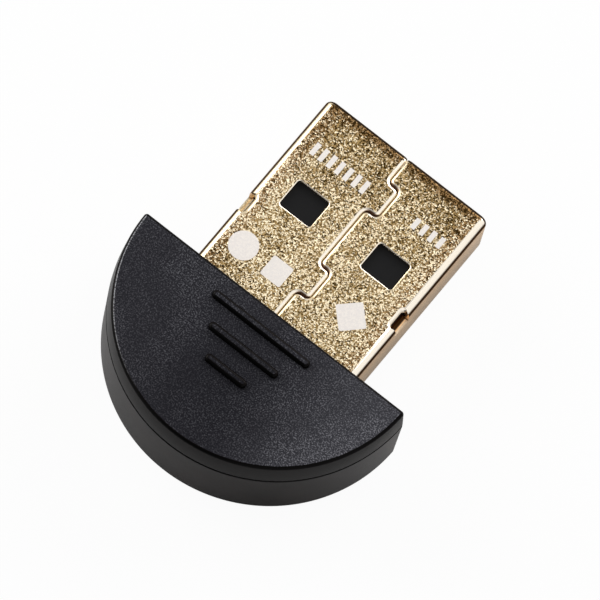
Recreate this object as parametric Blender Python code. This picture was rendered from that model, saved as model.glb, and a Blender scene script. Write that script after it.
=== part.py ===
"""A half-moon wireless adapter with a full-size plug, modelled as the pieces it is put together from.

The work is done in the adapter's own frame: x across the plug, +y out towards its tip from the
housing's flat front face at y = 0, and z up from the middle of the plug. One empty at the end lifts
and centres everything, so that the underside lies on z = 0. Sizes are in metres.
"""

import math

import bmesh
import bpy

MM = 0.001

# Plug: a sheet folded into a flat tube, its edges meeting in an interlocking seam on the upper face.
PLUG_WIDTH = 12.0 * MM
PLUG_HEIGHT = 4.5 * MM
PLUG_REACH = 13.1 * MM
PLUG_TAIL = 2.6 * MM
SHEET = 0.3 * MM
PLUG_BEND = 0.6 * MM
TIP_BEND = 0.36 * MM
TIP_TURN = math.radians(65)

# The seam runs along the plug and jogs sideways round two square tabs.
SEAM_GAP = 0.05 * MM
SEAM_SIDE = 0.05 * MM
SEAM_TAB_REACH = 0.87 * MM
SEAM_TAB_LENGTH = 2.15 * MM
SEAM_FIRST_TAB = 2.0 * MM
SEAM_TAB_PITCH = 6.6 * MM
SEAM_ROLL = 0.2 * MM
SEAM_ROLL_DEPTH = 0.12 * MM

# Latch windows, two in each face, and the crimp tabs that are pushed in at the upper long edges.
WINDOW_FROM_TIP = 5.25 * MM
WINDOW_LENGTH = 1.95 * MM
WINDOW_WIDTH = 2.3 * MM
WINDOW_SPACING = 6.1 * MM
CRIMP_FROM_TIP = 7.65 * MM
CRIMP_LENGTH = 1.3 * MM
CRIMP_INSET = 0.5 * MM
CRIMP_DROP = 1.15 * MM
CRIMP_TAB_RISE = 0.5 * MM
CRIMP_TAB_LEAN = 0.15 * MM
CRIMP_TAB_GAP = 0.08 * MM

# Soldering legs at the back of the sheet.
LEG_LENGTH = 0.85 * MM
LEG_ABOVE_BOARD = 0.7 * MM
LEG_BELOW_BOARD = 0.4 * MM

# Insulator: a tongue that carries the contacts, and a block that fills the back of the plug.
INSULATOR_GAP = 0.04 * MM
TONGUE_THICKNESS = 1.9 * MM
TONGUE_SETBACK = 0.6 * MM
TONGUE_CHAMFER = 0.3 * MM
SOCKET_DEPTH = 9.4 * MM
BLOCK_TAIL = 0.3 * MM

# Contacts: four strips let into the tongue's underside, the outer pair reaching further forward.
CONTACT_WIDTH = 1.0 * MM
CONTACT_THICKNESS = 0.25 * MM
CONTACT_PROUD = 0.06 * MM
CONTACT_GAP = 0.04 * MM
CONTACT_TAIL_WIDTH = 0.7 * MM
CONTACT_TAIL_LENGTH = 1.2 * MM
CONTACT_END_CHAMFER = 0.12 * MM
OUTER_CONTACT_SPACING = 7.0 * MM
INNER_CONTACT_SPACING = 2.0 * MM
OUTER_CONTACT_SETBACK = 0.9 * MM
INNER_CONTACT_SETBACK = 1.9 * MM

# Housing: a half disc moulded as two shells, which reaches past the plug by a shoulder on each side.
HOUSING_HEIGHT = 7.3 * MM
HOUSING_SHOULDER = 3.86 * MM
TOP_DRAFT = 0.16 * MM
BOTTOM_DRAFT = 0.08 * MM
HOUSING_CORNER = 0.45 * MM
HOUSING_WALL = 1.1 * MM
TOP_ROUND = 0.2 * MM
BOTTOM_ROUND = 0.4 * MM
UPPER_SHELL_DEPTH = 1.95 * MM
PARTING_GAP = 0.08 * MM
PARTING_ROUND = 0.06 * MM
LIP_HEIGHT = 0.6 * MM
LIP_THICKNESS = 0.5 * MM
LIP_GAP = 0.05 * MM
PLUG_GAP = 0.05 * MM
COLLAR_DEPTH = 2.3 * MM
COLLAR_WALL = 0.9 * MM

# Grip ribs: raised bars with round ends on the top face, each shorter than the one in front.
RIB_COUNT = 3
RIB_WIDTH = 0.56 * MM
RIB_HEIGHT = 0.32 * MM
RIB_ROUND = 0.22 * MM
RIB_ROUND_TURN = math.radians(81)
RIB_LENGTH = 7.2 * MM
RIB_SHORTENING = 2.1 * MM
RIB_PITCH = 1.68 * MM
RIB_FROM_FRONT = 1.42 * MM

# Pins of the lower shell, in the front corners, that go into sockets of the upper one.
PIN_POST_RADIUS = 0.6 * MM
PIN_RADIUS = 0.35 * MM
PIN_HEIGHT = 0.5 * MM
PIN_GAP = 0.07 * MM
PIN_SOCKET_RADIUS = 0.8 * MM

# Circuit board, and the posts and ledge that it is trapped between.
BOARD_THICKNESS = 0.8 * MM
BOARD_EDGE_GAP = 0.25 * MM
SEAT_GAP = 0.05 * MM
LEG_NOTCH_GAP = 0.1 * MM
POST_RADIUS = 0.5 * MM
POST_FROM_RIM = 0.5 * MM
POST_ANGLE = math.radians(50)
LEDGE_WIDTH = 1.6 * MM
LEDGE_OVERLAP = 0.35 * MM

# Small parts on the board: width along x, depth along y and height, as they lie.
PART_GAP = 0.2 * MM
ROW_GAP = 0.3 * MM
CHIP_SIZE = (3.0 * MM, 3.0 * MM, 0.75 * MM)
CHIP_CHAMFER = 0.15 * MM
MEMORY_SIZE = (1.6 * MM, 1.4 * MM, 0.6 * MM)
CRYSTAL_SIZE = (1.6 * MM, 1.2 * MM, 0.5 * MM)
CRYSTAL_LID_INSET = 0.1 * MM
CRYSTAL_LID_HEIGHT = 0.15 * MM
ANTENNA_SIZE = (2.0 * MM, 1.2 * MM, 1.0 * MM)
REGULATOR_SIZE = (1.6 * MM, 1.2 * MM, 0.6 * MM)
LEAD_WIDTH = 0.22 * MM
LEAD_REACH = 0.2 * MM
LEAD_THICKNESS = 0.12 * MM
LEAD_PITCH = 0.5 * MM
CAPACITOR_SIZE = (0.5 * MM, 1.0 * MM, 0.5 * MM)
RESISTOR_SIZE = (0.5 * MM, 1.0 * MM, 0.35 * MM)
INDUCTOR_SIZE = (1.0 * MM, 0.5 * MM, 0.5 * MM)
DIODE_SIZE = (1.0 * MM, 0.6 * MM, 0.45 * MM)
END_CAP_LENGTH = 0.25 * MM
END_CAP_PROUD = 0.03 * MM

# Smoothness of the round stretches.
HOUSING_ARC_STEPS = 72
CORNER_STEPS = 5
BEND_STEPS = 6
ROUND_STEPS = 4
CIRCLE_STEPS = 20
SMALLEST_CORNER = 0.08 * MM
CREASE_ANGLE = math.radians(35)
CUT_PAST = 0.5 * MM

# Levels and places that follow from the sizes above.
HOUSING_RADIUS = PLUG_WIDTH / 2 + HOUSING_SHOULDER
TOP_Z = HOUSING_HEIGHT / 2
BOTTOM_Z = -HOUSING_HEIGHT / 2
CEILING_Z = TOP_Z - HOUSING_WALL
FLOOR_Z = BOTTOM_Z + HOUSING_WALL
PARTING_Z = TOP_Z - UPPER_SHELL_DEPTH
SHEET_INNER_Z = PLUG_HEIGHT / 2 - SHEET
TONGUE_TOP_Z = SHEET_INNER_Z - INSULATOR_GAP
TONGUE_UNDER_Z = TONGUE_TOP_Z - TONGUE_THICKNESS
CONTACT_UNDER_Z = TONGUE_UNDER_Z - CONTACT_PROUD
BOARD_TOP_Z = CONTACT_UNDER_Z - SEAT_GAP
BOARD_UNDER_Z = BOARD_TOP_Z - BOARD_THICKNESS
INSULATOR_BACK_Y = -PLUG_TAIL - BLOCK_TAIL
BOARD_FRONT_Y = INSULATOR_BACK_Y - SEAT_GAP
BLOCK_FRONT_Y = PLUG_REACH - SOCKET_DEPTH
CONTACT_BACK_Y = BOARD_FRONT_Y - CONTACT_TAIL_LENGTH
TONGUE_TIP_Y = PLUG_REACH - TONGUE_SETBACK
CRIMP_TOP_Y = PLUG_REACH - CRIMP_FROM_TIP
CRIMP_LOW_Y = CRIMP_TOP_Y - CRIMP_LENGTH
COLLAR_HALF = PLUG_WIDTH / 2 + PLUG_GAP + COLLAR_WALL
FRONT_ROW_Y = BOARD_FRONT_Y - ROW_GAP
BOARD_RADIUS = HOUSING_RADIUS - BOTTOM_DRAFT - HOUSING_WALL - BOARD_EDGE_GAP


def finish_of(name, colour, roughness, metallic=0.0):
    """One Principled material, its colour given as linear red, green and blue."""
    finish = bpy.data.materials.new(name)
    finish.use_nodes = True
    shader = finish.node_tree.nodes["Principled BSDF"]
    shader.inputs["Base Color"].default_value = (*colour, 1.0)
    shader.inputs["Roughness"].default_value = roughness
    shader.inputs["Metallic"].default_value = metallic
    finish.diffuse_color = (*colour, 1.0)
    return finish


def add_object(name, bm, finish=None):
    """Turn a finished bmesh into an object, smooth where the surface is round."""
    bmesh.ops.recalc_face_normals(bm, faces=bm.faces)
    mesh = bpy.data.meshes.new(name)
    bm.to_mesh(mesh)
    bm.free()
    mesh.shade_smooth()
    mesh.set_sharp_from_angle(angle=CREASE_ANGLE)
    obj = bpy.data.objects.new(name, mesh)
    bpy.context.scene.collection.objects.link(obj)
    if finish is not None:
        mesh.materials.append(finish)
    return obj


def loft(rings, cyclic=False):
    """A closed body through rings of equally many points, its first and last ring capped or joined."""
    bm = bmesh.new()
    loops = [[bm.verts.new(point) for point in ring] for ring in rings]
    pairs = list(zip(loops, loops[1:]))
    if cyclic:
        pairs.append((loops[-1], loops[0]))
    for near, far in pairs:
        for i in range(len(near)):
            j = (i + 1) % len(near)
            bm.faces.new((near[i], near[j], far[j], far[i]))
    if not cyclic:
        bm.faces.new(loops[0])
        bm.faces.new(loops[-1])
    return bm


def box(low, high):
    """A box between two corners."""
    plan = [(low[0], low[1]), (high[0], low[1]), (high[0], high[1]), (low[0], high[1])]
    return loft([[(x, y, z) for x, y in plan] for z in (low[2], high[2])])


def prism_z(plan, low, high):
    """A plan outline raised from one level to another."""
    return loft([[(x, y, z) for x, y in plan] for z in (low, high)])


def prism_y(section, back, front):
    """An x, z section drawn out along y."""
    return loft([[(x, y, z) for x, z in section] for y in (back, front)])


def prism_x(side_view, half_width):
    """A y, z side view drawn out to both sides of x = 0."""
    return loft([[(x, y, z) for y, z in side_view] for x in (-half_width, half_width)])


def turned(x, y, profile):
    """A turned body on an upright axis, its profile given as radius and level."""
    rings = []
    for radius, z in profile:
        circle = arc(x, y, radius, 0.0, math.tau, CIRCLE_STEPS)[:-1]
        rings.append([(px, py, z) for px, py in circle])
    return loft(rings)


def arc(centre_x, centre_y, radius, start, end, steps):
    """Points along an arc, both ends included."""
    points = []
    for i in range(steps + 1):
        angle = start + (end - start) * i / steps
        points.append((centre_x + radius * math.cos(angle), centre_y + radius * math.sin(angle)))
    return points


def rounded_rectangle(width, height, radius, steps=BEND_STEPS):
    """A rectangle about the origin with round corners, counter-clockwise."""
    reach_x = width / 2 - radius
    reach_z = height / 2 - radius
    points = []
    for turn, (side_x, side_z) in enumerate(((1, 1), (-1, 1), (-1, -1), (1, -1))):
        start = turn * math.pi / 2
        points += arc(side_x * reach_x, side_z * reach_z, radius, start, start + math.pi / 2, steps)
    return points


def boolean(target, operation, tool):
    """Leave a live Boolean on the target, and keep its tool out of the model."""
    modifier = target.modifiers.new(tool.name, "BOOLEAN")
    modifier.operation = operation
    modifier.solver = "EXACT"
    modifier.object = tool
    tool.hide_render = True
    tool.display_type = "WIRE"


def cut(target, name, bm):
    """Cut the form in bm out of the target."""
    boolean(target, "DIFFERENCE", add_object(name, bm))


def fuse(target, name, bm):
    """Make the form in bm part of the target."""
    boolean(target, "UNION", add_object(name, bm))


def crease_nodes():
    """The node group that shades a mesh smooth, except over edges past the crease angle."""
    name = "smooth_up_to_crease"
    if name in bpy.data.node_groups:
        return bpy.data.node_groups[name]
    group = bpy.data.node_groups.new(name, "GeometryNodeTree")
    for way in ("INPUT", "OUTPUT"):
        group.interface.new_socket("Geometry", in_out=way, socket_type="NodeSocketGeometry")
    source = group.nodes.new("NodeGroupInput")
    result = group.nodes.new("NodeGroupOutput")
    angle = group.nodes.new("GeometryNodeInputMeshEdgeAngle")
    below = group.nodes.new("FunctionNodeCompare")
    below.operation = "LESS_EQUAL"
    below.inputs["B"].default_value = CREASE_ANGLE
    shade = group.nodes.new("GeometryNodeSetShadeSmooth")
    shade.domain = "EDGE"
    group.links.new(angle.outputs["Unsigned Angle"], below.inputs["A"])
    group.links.new(source.outputs["Geometry"], shade.inputs["Geometry"])
    group.links.new(below.outputs["Result"], shade.inputs["Shade Smooth"])
    group.links.new(shade.outputs["Geometry"], result.inputs["Geometry"])
    return group


def settle_shading(obj):
    """Give a cut piece clean edges, and let its large flat faces keep their own shading."""
    crease = obj.modifiers.new("crease_edges", "NODES")
    crease.node_group = crease_nodes()
    weighted = obj.modifiers.new("face_weighted_shading", "WEIGHTED_NORMAL")
    weighted.keep_sharp = True
    return obj


def plug_section(inset):
    """The plug's outer section, moved in by inset."""
    radius = max(PLUG_BEND - inset, SMALLEST_CORNER)
    return rounded_rectangle(PLUG_WIDTH - 2 * inset, PLUG_HEIGHT - 2 * inset, radius)


def seam_outline(half_gap):
    """The seam's plan outline: its zigzag centre line with half_gap to each side."""
    near_x = -SEAM_SIDE
    far_x = near_x + SEAM_TAB_REACH
    first = PLUG_REACH - SEAM_FIRST_TAB
    line = [(near_x, PLUG_REACH + CUT_PAST)]
    for tab in range(2):
        start = first - tab * SEAM_TAB_PITCH
        end = start - SEAM_TAB_LENGTH
        line += [(near_x, start), (far_x, start), (far_x, end), (near_x, end)]
    line.append((near_x, -PLUG_TAIL - CUT_PAST))
    # Runs and jogs are square to each other, so each corner moves out by the same amount in x and y.
    right = []
    left = []
    for i, (x, y) in enumerate(line):
        before = line[i - 1] if i > 0 else (x, y + 1)
        after = line[i + 1] if i < len(line) - 1 else (x, y - 1)
        jog = (after[0] - x) + (x - before[0])
        shift = half_gap if jog > 0 else -half_gap if jog < 0 else 0.0
        right.append((x + half_gap, y + shift))
        left.append((x - half_gap, y - shift))
    return right + left[::-1]


def make_plug_shell(finish):
    """The folded sheet, with its seam, latch windows, crimp tabs and soldering legs."""
    rings = []
    bend_y = PLUG_REACH - TIP_BEND
    rings.append((-PLUG_TAIL, 0.0))
    for i in range(ROUND_STEPS + 1):
        turn = TIP_TURN * i / ROUND_STEPS
        rings.append((bend_y + TIP_BEND * math.sin(turn), TIP_BEND * (1 - math.cos(turn))))
    inner_bend = TIP_BEND - SHEET
    for i in range(ROUND_STEPS + 1):
        turn = TIP_TURN * (1 - i / ROUND_STEPS)
        inset = SHEET + inner_bend * (1 - math.cos(turn))
        rings.append((bend_y + inner_bend * math.sin(turn), inset))
    rings.append((-PLUG_TAIL, SHEET))
    tube = loft([[(x, y, z) for x, z in plug_section(inset)] for y, inset in rings], cyclic=True)
    shell = add_object("plug_shell", tube, finish)

    top = PLUG_HEIGHT / 2
    levels = [(top - SHEET - CUT_PAST, SEAM_GAP / 2), (top - SEAM_ROLL_DEPTH, SEAM_GAP / 2)]
    for i in range(1, ROUND_STEPS + 1):
        turn = math.pi / 2 * i / ROUND_STEPS
        flare = SEAM_ROLL * (1 - math.cos(turn))
        levels.append((top - SEAM_ROLL_DEPTH * (1 - math.sin(turn)), SEAM_GAP / 2 + flare))
    levels.append((top + CUT_PAST, SEAM_GAP / 2 + SEAM_ROLL))
    seam = loft([[(x, y, z) for x, y in seam_outline(half)] for z, half in levels])
    cut(shell, "seam_cut", seam)

    window_y = PLUG_REACH - WINDOW_FROM_TIP
    for side, label in ((-1, "left"), (1, "right")):
        middle = side * WINDOW_SPACING / 2
        low = (middle - WINDOW_WIDTH / 2, window_y - WINDOW_LENGTH, -PLUG_HEIGHT)
        high = (middle + WINDOW_WIDTH / 2, window_y, PLUG_HEIGHT)
        cut(shell, "window_cut_" + label, box(low, high))
        make_crimp(shell, side, label)
        make_leg(shell, side, label)
    return settle_shading(shell)


def make_crimp(shell, side, label):
    """A notch in an upper long edge, and the tab that was pushed in from it."""
    outer_x = side * (PLUG_WIDTH / 2 + CUT_PAST)
    inner_x = side * (PLUG_WIDTH / 2 - CRIMP_INSET)
    notch_z = PLUG_HEIGHT / 2 - CRIMP_DROP
    low = (min(outer_x, inner_x), CRIMP_LOW_Y, notch_z)
    high = (max(outer_x, inner_x), CRIMP_TOP_Y, PLUG_HEIGHT)
    cut(shell, "crimp_cut_" + label, box(low, high))
    wall_x = PLUG_WIDTH / 2
    root_z = notch_z - SHEET
    tip_z = notch_z + CRIMP_TAB_RISE
    section = [
        (side * wall_x, root_z),
        (side * (wall_x - CRIMP_TAB_LEAN), tip_z),
        (side * (wall_x - CRIMP_TAB_LEAN - SHEET), tip_z),
        (side * (wall_x - SHEET), root_z),
    ]
    tab = prism_y(section, CRIMP_LOW_Y + CRIMP_TAB_GAP, CRIMP_TOP_Y - CRIMP_TAB_GAP)
    fuse(shell, "crimp_tab_" + label, tab)


def make_leg(shell, side, label):
    """A leg that runs back from the side of the sheet, past the board's cut corner."""
    outer_x = side * PLUG_WIDTH / 2
    inner_x = side * (PLUG_WIDTH / 2 - SHEET)
    low = (min(outer_x, inner_x), -PLUG_TAIL - LEG_LENGTH, BOARD_UNDER_Z - LEG_BELOW_BOARD)
    high = (max(outer_x, inner_x), -PLUG_TAIL + SHEET, BOARD_TOP_Z + LEG_ABOVE_BOARD)
    fuse(shell, "leg_" + label, box(low, high))


def contact_places():
    """Name, x and front end of each of the four contacts."""
    outer_x = OUTER_CONTACT_SPACING / 2
    inner_x = INNER_CONTACT_SPACING / 2
    outer_y = TONGUE_TIP_Y - OUTER_CONTACT_SETBACK
    inner_y = TONGUE_TIP_Y - INNER_CONTACT_SETBACK
    return [
        ("contact_power", -outer_x, outer_y),
        ("contact_data_minus", -inner_x, inner_y),
        ("contact_data_plus", inner_x, inner_y),
        ("contact_ground", outer_x, outer_y),
    ]


def make_insulator(finish):
    """The tongue and its block as one moulding, grooved for the contacts and pocketed for the crimps."""
    side_view = [
        (TONGUE_TIP_Y, TONGUE_TOP_Z - TONGUE_CHAMFER),
        (TONGUE_TIP_Y - TONGUE_CHAMFER, TONGUE_TOP_Z),
        (INSULATOR_BACK_Y, TONGUE_TOP_Z),
        (INSULATOR_BACK_Y, -TONGUE_TOP_Z),
        (BLOCK_FRONT_Y, -TONGUE_TOP_Z),
        (BLOCK_FRONT_Y, TONGUE_UNDER_Z),
        (TONGUE_TIP_Y - TONGUE_CHAMFER, TONGUE_UNDER_Z),
        (TONGUE_TIP_Y, TONGUE_UNDER_Z + TONGUE_CHAMFER),
    ]
    insulator = add_object("insulator", prism_x(side_view, PLUG_WIDTH / 2), finish)
    sleeve = prism_y(plug_section(SHEET + INSULATOR_GAP), INSULATOR_BACK_Y - CUT_PAST, PLUG_REACH)
    boolean(insulator, "INTERSECT", add_object("insulator_sleeve", sleeve))
    groove = CONTACT_WIDTH / 2 + CONTACT_GAP
    under = CONTACT_UNDER_Z - CONTACT_GAP
    over = CONTACT_UNDER_Z + CONTACT_THICKNESS + CONTACT_GAP
    for name, x, front in contact_places():
        low = (x - groove, INSULATOR_BACK_Y - CUT_PAST, under)
        high = (x + groove, front + CONTACT_GAP, over)
        cut(insulator, "groove_for_" + name, box(low, high))
    pocket_x = PLUG_WIDTH / 2 - CRIMP_TAB_LEAN - SHEET - INSULATOR_GAP
    for side, label in ((-1, "left"), (1, "right")):
        edge_x = side * PLUG_WIDTH / 2
        deep_x = side * pocket_x
        low = (min(edge_x, deep_x), CRIMP_LOW_Y, PLUG_HEIGHT / 2 - CRIMP_DROP - 2 * SHEET)
        high = (max(edge_x, deep_x), CRIMP_TOP_Y, PLUG_HEIGHT)
        cut(insulator, "crimp_pocket_" + label, box(low, high))
    return settle_shading(insulator)


def make_contact(name, x, front, finish):
    """One contact strip, with a narrower tail that lies on the board."""
    back = CONTACT_BACK_Y
    wide = CONTACT_WIDTH / 2
    narrow = CONTACT_TAIL_WIDTH / 2
    neck = BOARD_FRONT_Y + SEAT_GAP
    plan = [
        (x - narrow, back),
        (x + narrow, back),
        (x + narrow, neck),
        (x + wide, neck),
        (x + wide, front - CONTACT_END_CHAMFER),
        (x + wide - CONTACT_END_CHAMFER, front),
        (x - wide + CONTACT_END_CHAMFER, front),
        (x - wide, front - CONTACT_END_CHAMFER),
        (x - wide, neck),
        (x - narrow, neck),
    ]
    strip = prism_z(plan, CONTACT_UNDER_Z, CONTACT_UNDER_Z + CONTACT_THICKNESS)
    return add_object(name, strip, finish)


def half_moon(radius, inset):
    """The housing's plan outline, moved in by inset: a straight front and an arc, with round corners."""
    arc_radius = radius - inset
    corner = max(HOUSING_CORNER - inset, SMALLEST_CORNER)
    corner_y = -inset - corner
    corner_x = math.sqrt((arc_radius - corner) ** 2 - corner_y ** 2)
    meet = math.atan2(corner_y, corner_x)
    points = arc(corner_x, corner_y, corner, math.pi / 2, meet, CORNER_STEPS)
    points += arc(0.0, 0.0, arc_radius, meet, -math.pi - meet, HOUSING_ARC_STEPS)[1:-1]
    points += arc(-corner_x, corner_y, corner, -math.pi - meet, -1.5 * math.pi, CORNER_STEPS)
    return points


def wall_radius(z):
    """The drafted wall's radius at a level: widest at the parting line."""
    if z > PARTING_Z:
        return HOUSING_RADIUS - TOP_DRAFT * (z - PARTING_Z) / (TOP_Z - PARTING_Z)
    return HOUSING_RADIUS - BOTTOM_DRAFT * (PARTING_Z - z) / (PARTING_Z - BOTTOM_Z)


def housing_body(levels):
    """A body through the housing's outline at each level and inset."""
    return loft([[(x, y, z) for x, y in half_moon(wall_radius(z), inset)] for z, inset in levels])


def plug_opening():
    """What the plug's root takes out of the housing's front wall and collar."""
    return prism_y(plug_section(-PLUG_GAP), -COLLAR_DEPTH - CUT_PAST, CUT_PAST)


def collar(low, high):
    """The block behind the front wall that the plug's root is gripped in."""
    return box((-COLLAR_HALF, -COLLAR_DEPTH, low), (COLLAR_HALF, -HOUSING_WALL / 2, high))


def pin_places():
    """Label, x and y of the two pins, each in the middle of the pocket between collar and wall."""
    y = -(HOUSING_WALL + COLLAR_DEPTH) / 2
    inner_x = math.sqrt((HOUSING_RADIUS - HOUSING_WALL) ** 2 - y ** 2)
    x = (COLLAR_HALF + inner_x) / 2
    return [("left", -x, y), ("right", x, y)]


def post_places():
    """Label, x and y of the two posts under and over the board, a fixed way in from its rim."""
    reach = BOARD_RADIUS - POST_FROM_RIM
    x = reach * math.cos(POST_ANGLE)
    y = -reach * math.sin(POST_ANGLE)
    return [("left", -x, y), ("right", x, y)]


def make_lower_shell(finish):
    """The deeper shell: floor, wall and lip, the plug's collar, two pins, and what the board lies on."""
    edge = PARTING_Z - PARTING_GAP / 2
    levels = []
    for i in range(ROUND_STEPS + 1):
        turn = math.pi / 2 * i / ROUND_STEPS
        levels.append((BOTTOM_Z + BOTTOM_ROUND * (1 - math.sin(turn)), BOTTOM_ROUND * (1 - math.cos(turn))))
    levels = levels[::-1]
    levels.append((edge - PARTING_ROUND, 0.0))
    levels.append((edge, PARTING_ROUND))
    lip_inset = HOUSING_WALL - LIP_THICKNESS
    levels.append((edge, lip_inset))
    levels.append((PARTING_Z + LIP_HEIGHT, lip_inset))
    shell = add_object("lower_shell", housing_body(levels), finish)
    hollow = housing_body([
        (FLOOR_Z, HOUSING_WALL),
        (PARTING_Z, HOUSING_WALL),
        (PARTING_Z + LIP_HEIGHT + CUT_PAST, HOUSING_WALL),
    ])
    cut(shell, "lower_hollow", hollow)
    root = FLOOR_Z - HOUSING_WALL / 2
    fuse(shell, "lower_collar", collar(root, edge))
    cut(shell, "lower_plug_opening", plug_opening())
    lip_top = PARTING_Z + LIP_HEIGHT
    for label, x, y in pin_places():
        pin = [
            (PIN_POST_RADIUS, root),
            (PIN_POST_RADIUS, edge),
            (PIN_RADIUS, edge),
            (PIN_RADIUS, lip_top + PIN_HEIGHT),
        ]
        fuse(shell, "pin_" + label, turned(x, y, pin))
    seat = BOARD_UNDER_Z - SEAT_GAP
    for label, x, y in post_places():
        fuse(shell, "support_post_" + label, turned(x, y, [(POST_RADIUS, root), (POST_RADIUS, seat)]))
    ledge_front = -BOARD_RADIUS + LEDGE_OVERLAP
    ledge_back = -HOUSING_RADIUS + HOUSING_WALL / 2
    ledge = box((-LEDGE_WIDTH / 2, ledge_back, root), (LEDGE_WIDTH / 2, ledge_front, seat))
    fuse(shell, "board_ledge", ledge)
    return settle_shading(shell)


def make_rib(index):
    """One grip rib: a bar with round ends and a round top, sunk a little into the face that it stands on."""
    y = -RIB_FROM_FRONT - index * RIB_PITCH
    reach = (RIB_LENGTH - index * RIB_SHORTENING - RIB_WIDTH) / 2
    rings = []
    for level, inset in rib_levels():
        radius = RIB_WIDTH / 2 - inset
        plan = arc(reach, y, radius, -math.pi / 2, math.pi / 2, CORNER_STEPS * 2)
        plan += arc(-reach, y, radius, math.pi / 2, 1.5 * math.pi, CORNER_STEPS * 2)
        rings.append([(px, py, level) for px, py in plan])
    return loft(rings)


def rib_levels():
    """Level and inset of each ring up a rib."""
    shoulder_z = TOP_Z + RIB_HEIGHT - RIB_ROUND
    levels = [(TOP_Z - HOUSING_WALL / 2, 0.0), (shoulder_z, 0.0)]
    for i in range(1, ROUND_STEPS + 1):
        turn = RIB_ROUND_TURN * i / ROUND_STEPS
        levels.append((shoulder_z + RIB_ROUND * math.sin(turn), RIB_ROUND * (1 - math.cos(turn))))
    return levels


def make_upper_shell(finish):
    """The shallow shell: a rabbet for the lip, pin sockets, posts that hold the board, and grip ribs."""
    edge = PARTING_Z + PARTING_GAP / 2
    levels = [(edge, PARTING_ROUND), (edge + PARTING_ROUND, 0.0)]
    for i in range(ROUND_STEPS + 1):
        turn = math.pi / 2 * i / ROUND_STEPS
        levels.append((TOP_Z - TOP_ROUND * (1 - math.sin(turn)), TOP_ROUND * (1 - math.cos(turn))))
    shell = add_object("upper_shell", housing_body(levels), finish)
    rabbet_inset = HOUSING_WALL - LIP_THICKNESS - LIP_GAP
    rabbet_top = PARTING_Z + LIP_HEIGHT + LIP_GAP
    hollow = housing_body([
        (PARTING_Z - CUT_PAST, rabbet_inset),
        (PARTING_Z, rabbet_inset),
        (rabbet_top, rabbet_inset),
        (rabbet_top, HOUSING_WALL),
        (CEILING_Z, HOUSING_WALL),
    ])
    cut(shell, "upper_hollow", hollow)
    root = CEILING_Z + HOUSING_WALL / 2
    fuse(shell, "upper_collar", collar(rabbet_top, root))
    cut(shell, "upper_plug_opening", plug_opening())
    bore_radius = PIN_RADIUS + PIN_GAP
    bore_top = PARTING_Z + LIP_HEIGHT + PIN_HEIGHT + PIN_GAP
    for label, x, y in pin_places():
        socket = [(PIN_SOCKET_RADIUS, rabbet_top), (PIN_SOCKET_RADIUS, root)]
        fuse(shell, "pin_socket_" + label, turned(x, y, socket))
        bore = [(bore_radius, rabbet_top - CUT_PAST), (bore_radius, bore_top)]
        cut(shell, "pin_bore_" + label, turned(x, y, bore))
    seat = BOARD_TOP_Z + SEAT_GAP
    for label, x, y in post_places():
        fuse(shell, "hold_down_" + label, turned(x, y, [(POST_RADIUS, seat), (POST_RADIUS, root)]))
    for index in range(RIB_COUNT):
        fuse(shell, "grip_rib_" + str(index + 1), make_rib(index))
    return settle_shading(shell)


def board_outline():
    """The board's plan outline: the housing's inner arc behind a straight front edge."""
    start = math.asin(BOARD_FRONT_Y / BOARD_RADIUS)
    return arc(0.0, 0.0, BOARD_RADIUS, start, -math.pi - start, HOUSING_ARC_STEPS // 2)


def make_board(finish):
    """The circuit board, its front corners cut back so that the plug's legs pass beside it."""
    board = add_object("circuit_board", prism_z(board_outline(), BOARD_UNDER_Z, BOARD_TOP_Z), finish)
    for side, label in ((-1, "left"), (1, "right")):
        near = side * (PLUG_WIDTH / 2 - SHEET - LEG_NOTCH_GAP)
        far = side * (PLUG_WIDTH / 2 + HOUSING_RADIUS)
        notch_back = -PLUG_TAIL - LEG_LENGTH - LEG_NOTCH_GAP
        low = (min(near, far), notch_back, BOARD_UNDER_Z - CUT_PAST)
        high = (max(near, far), BOARD_FRONT_Y + CUT_PAST, BOARD_TOP_Z + CUT_PAST)
        cut(board, "leg_notch_" + label, box(low, high))
    return settle_shading(board)


def seat_on_board(obj, x, y, under=False):
    """Place a small part, modelled standing on z = 0, on the board's upper or under side."""
    obj.location = (x, y, BOARD_UNDER_Z - SEAT_GAP if under else BOARD_TOP_Z + SEAT_GAP)
    if under:
        obj.rotation_euler = (0.0, math.pi, 0.0)
    return obj


def block(size, chamfer=0.0):
    """A part's body standing on z = 0, its four upright edges cut off by chamfer."""
    half_x = size[0] / 2
    half_y = size[1] / 2
    if chamfer == 0.0:
        return box((-half_x, -half_y, 0.0), (half_x, half_y, size[2]))
    plan = []
    for side_x, side_y in ((1, 1), (-1, 1), (-1, -1), (1, -1)):
        along = (side_x * (half_x - chamfer), side_y * half_y)
        across = (side_x * half_x, side_y * (half_y - chamfer))
        plan += [across, along] if side_x == side_y else [along, across]
    return prism_z(plan, 0.0, size[2])


def end_capped(size):
    """A two-terminal part along its longer side, its metal end caps a little proud of its middle."""
    along_x = size[0] > size[1]
    half = max(size[0], size[1]) / 2
    breadth = min(size[0], size[1])
    rings = []
    for place, proud in (
        (-half, END_CAP_PROUD),
        (-half + END_CAP_LENGTH, END_CAP_PROUD),
        (-half + END_CAP_LENGTH, 0.0),
        (half - END_CAP_LENGTH, 0.0),
        (half - END_CAP_LENGTH, END_CAP_PROUD),
        (half, END_CAP_PROUD),
    ):
        side = breadth / 2 - END_CAP_PROUD + proud
        low = END_CAP_PROUD - proud
        high = size[2] - END_CAP_PROUD + proud
        ring = [(-side, low), (side, low), (side, high), (-side, high)]
        rings.append([(place, across, z) if along_x else (across, place, z) for across, z in ring])
    return loft(rings)


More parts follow.
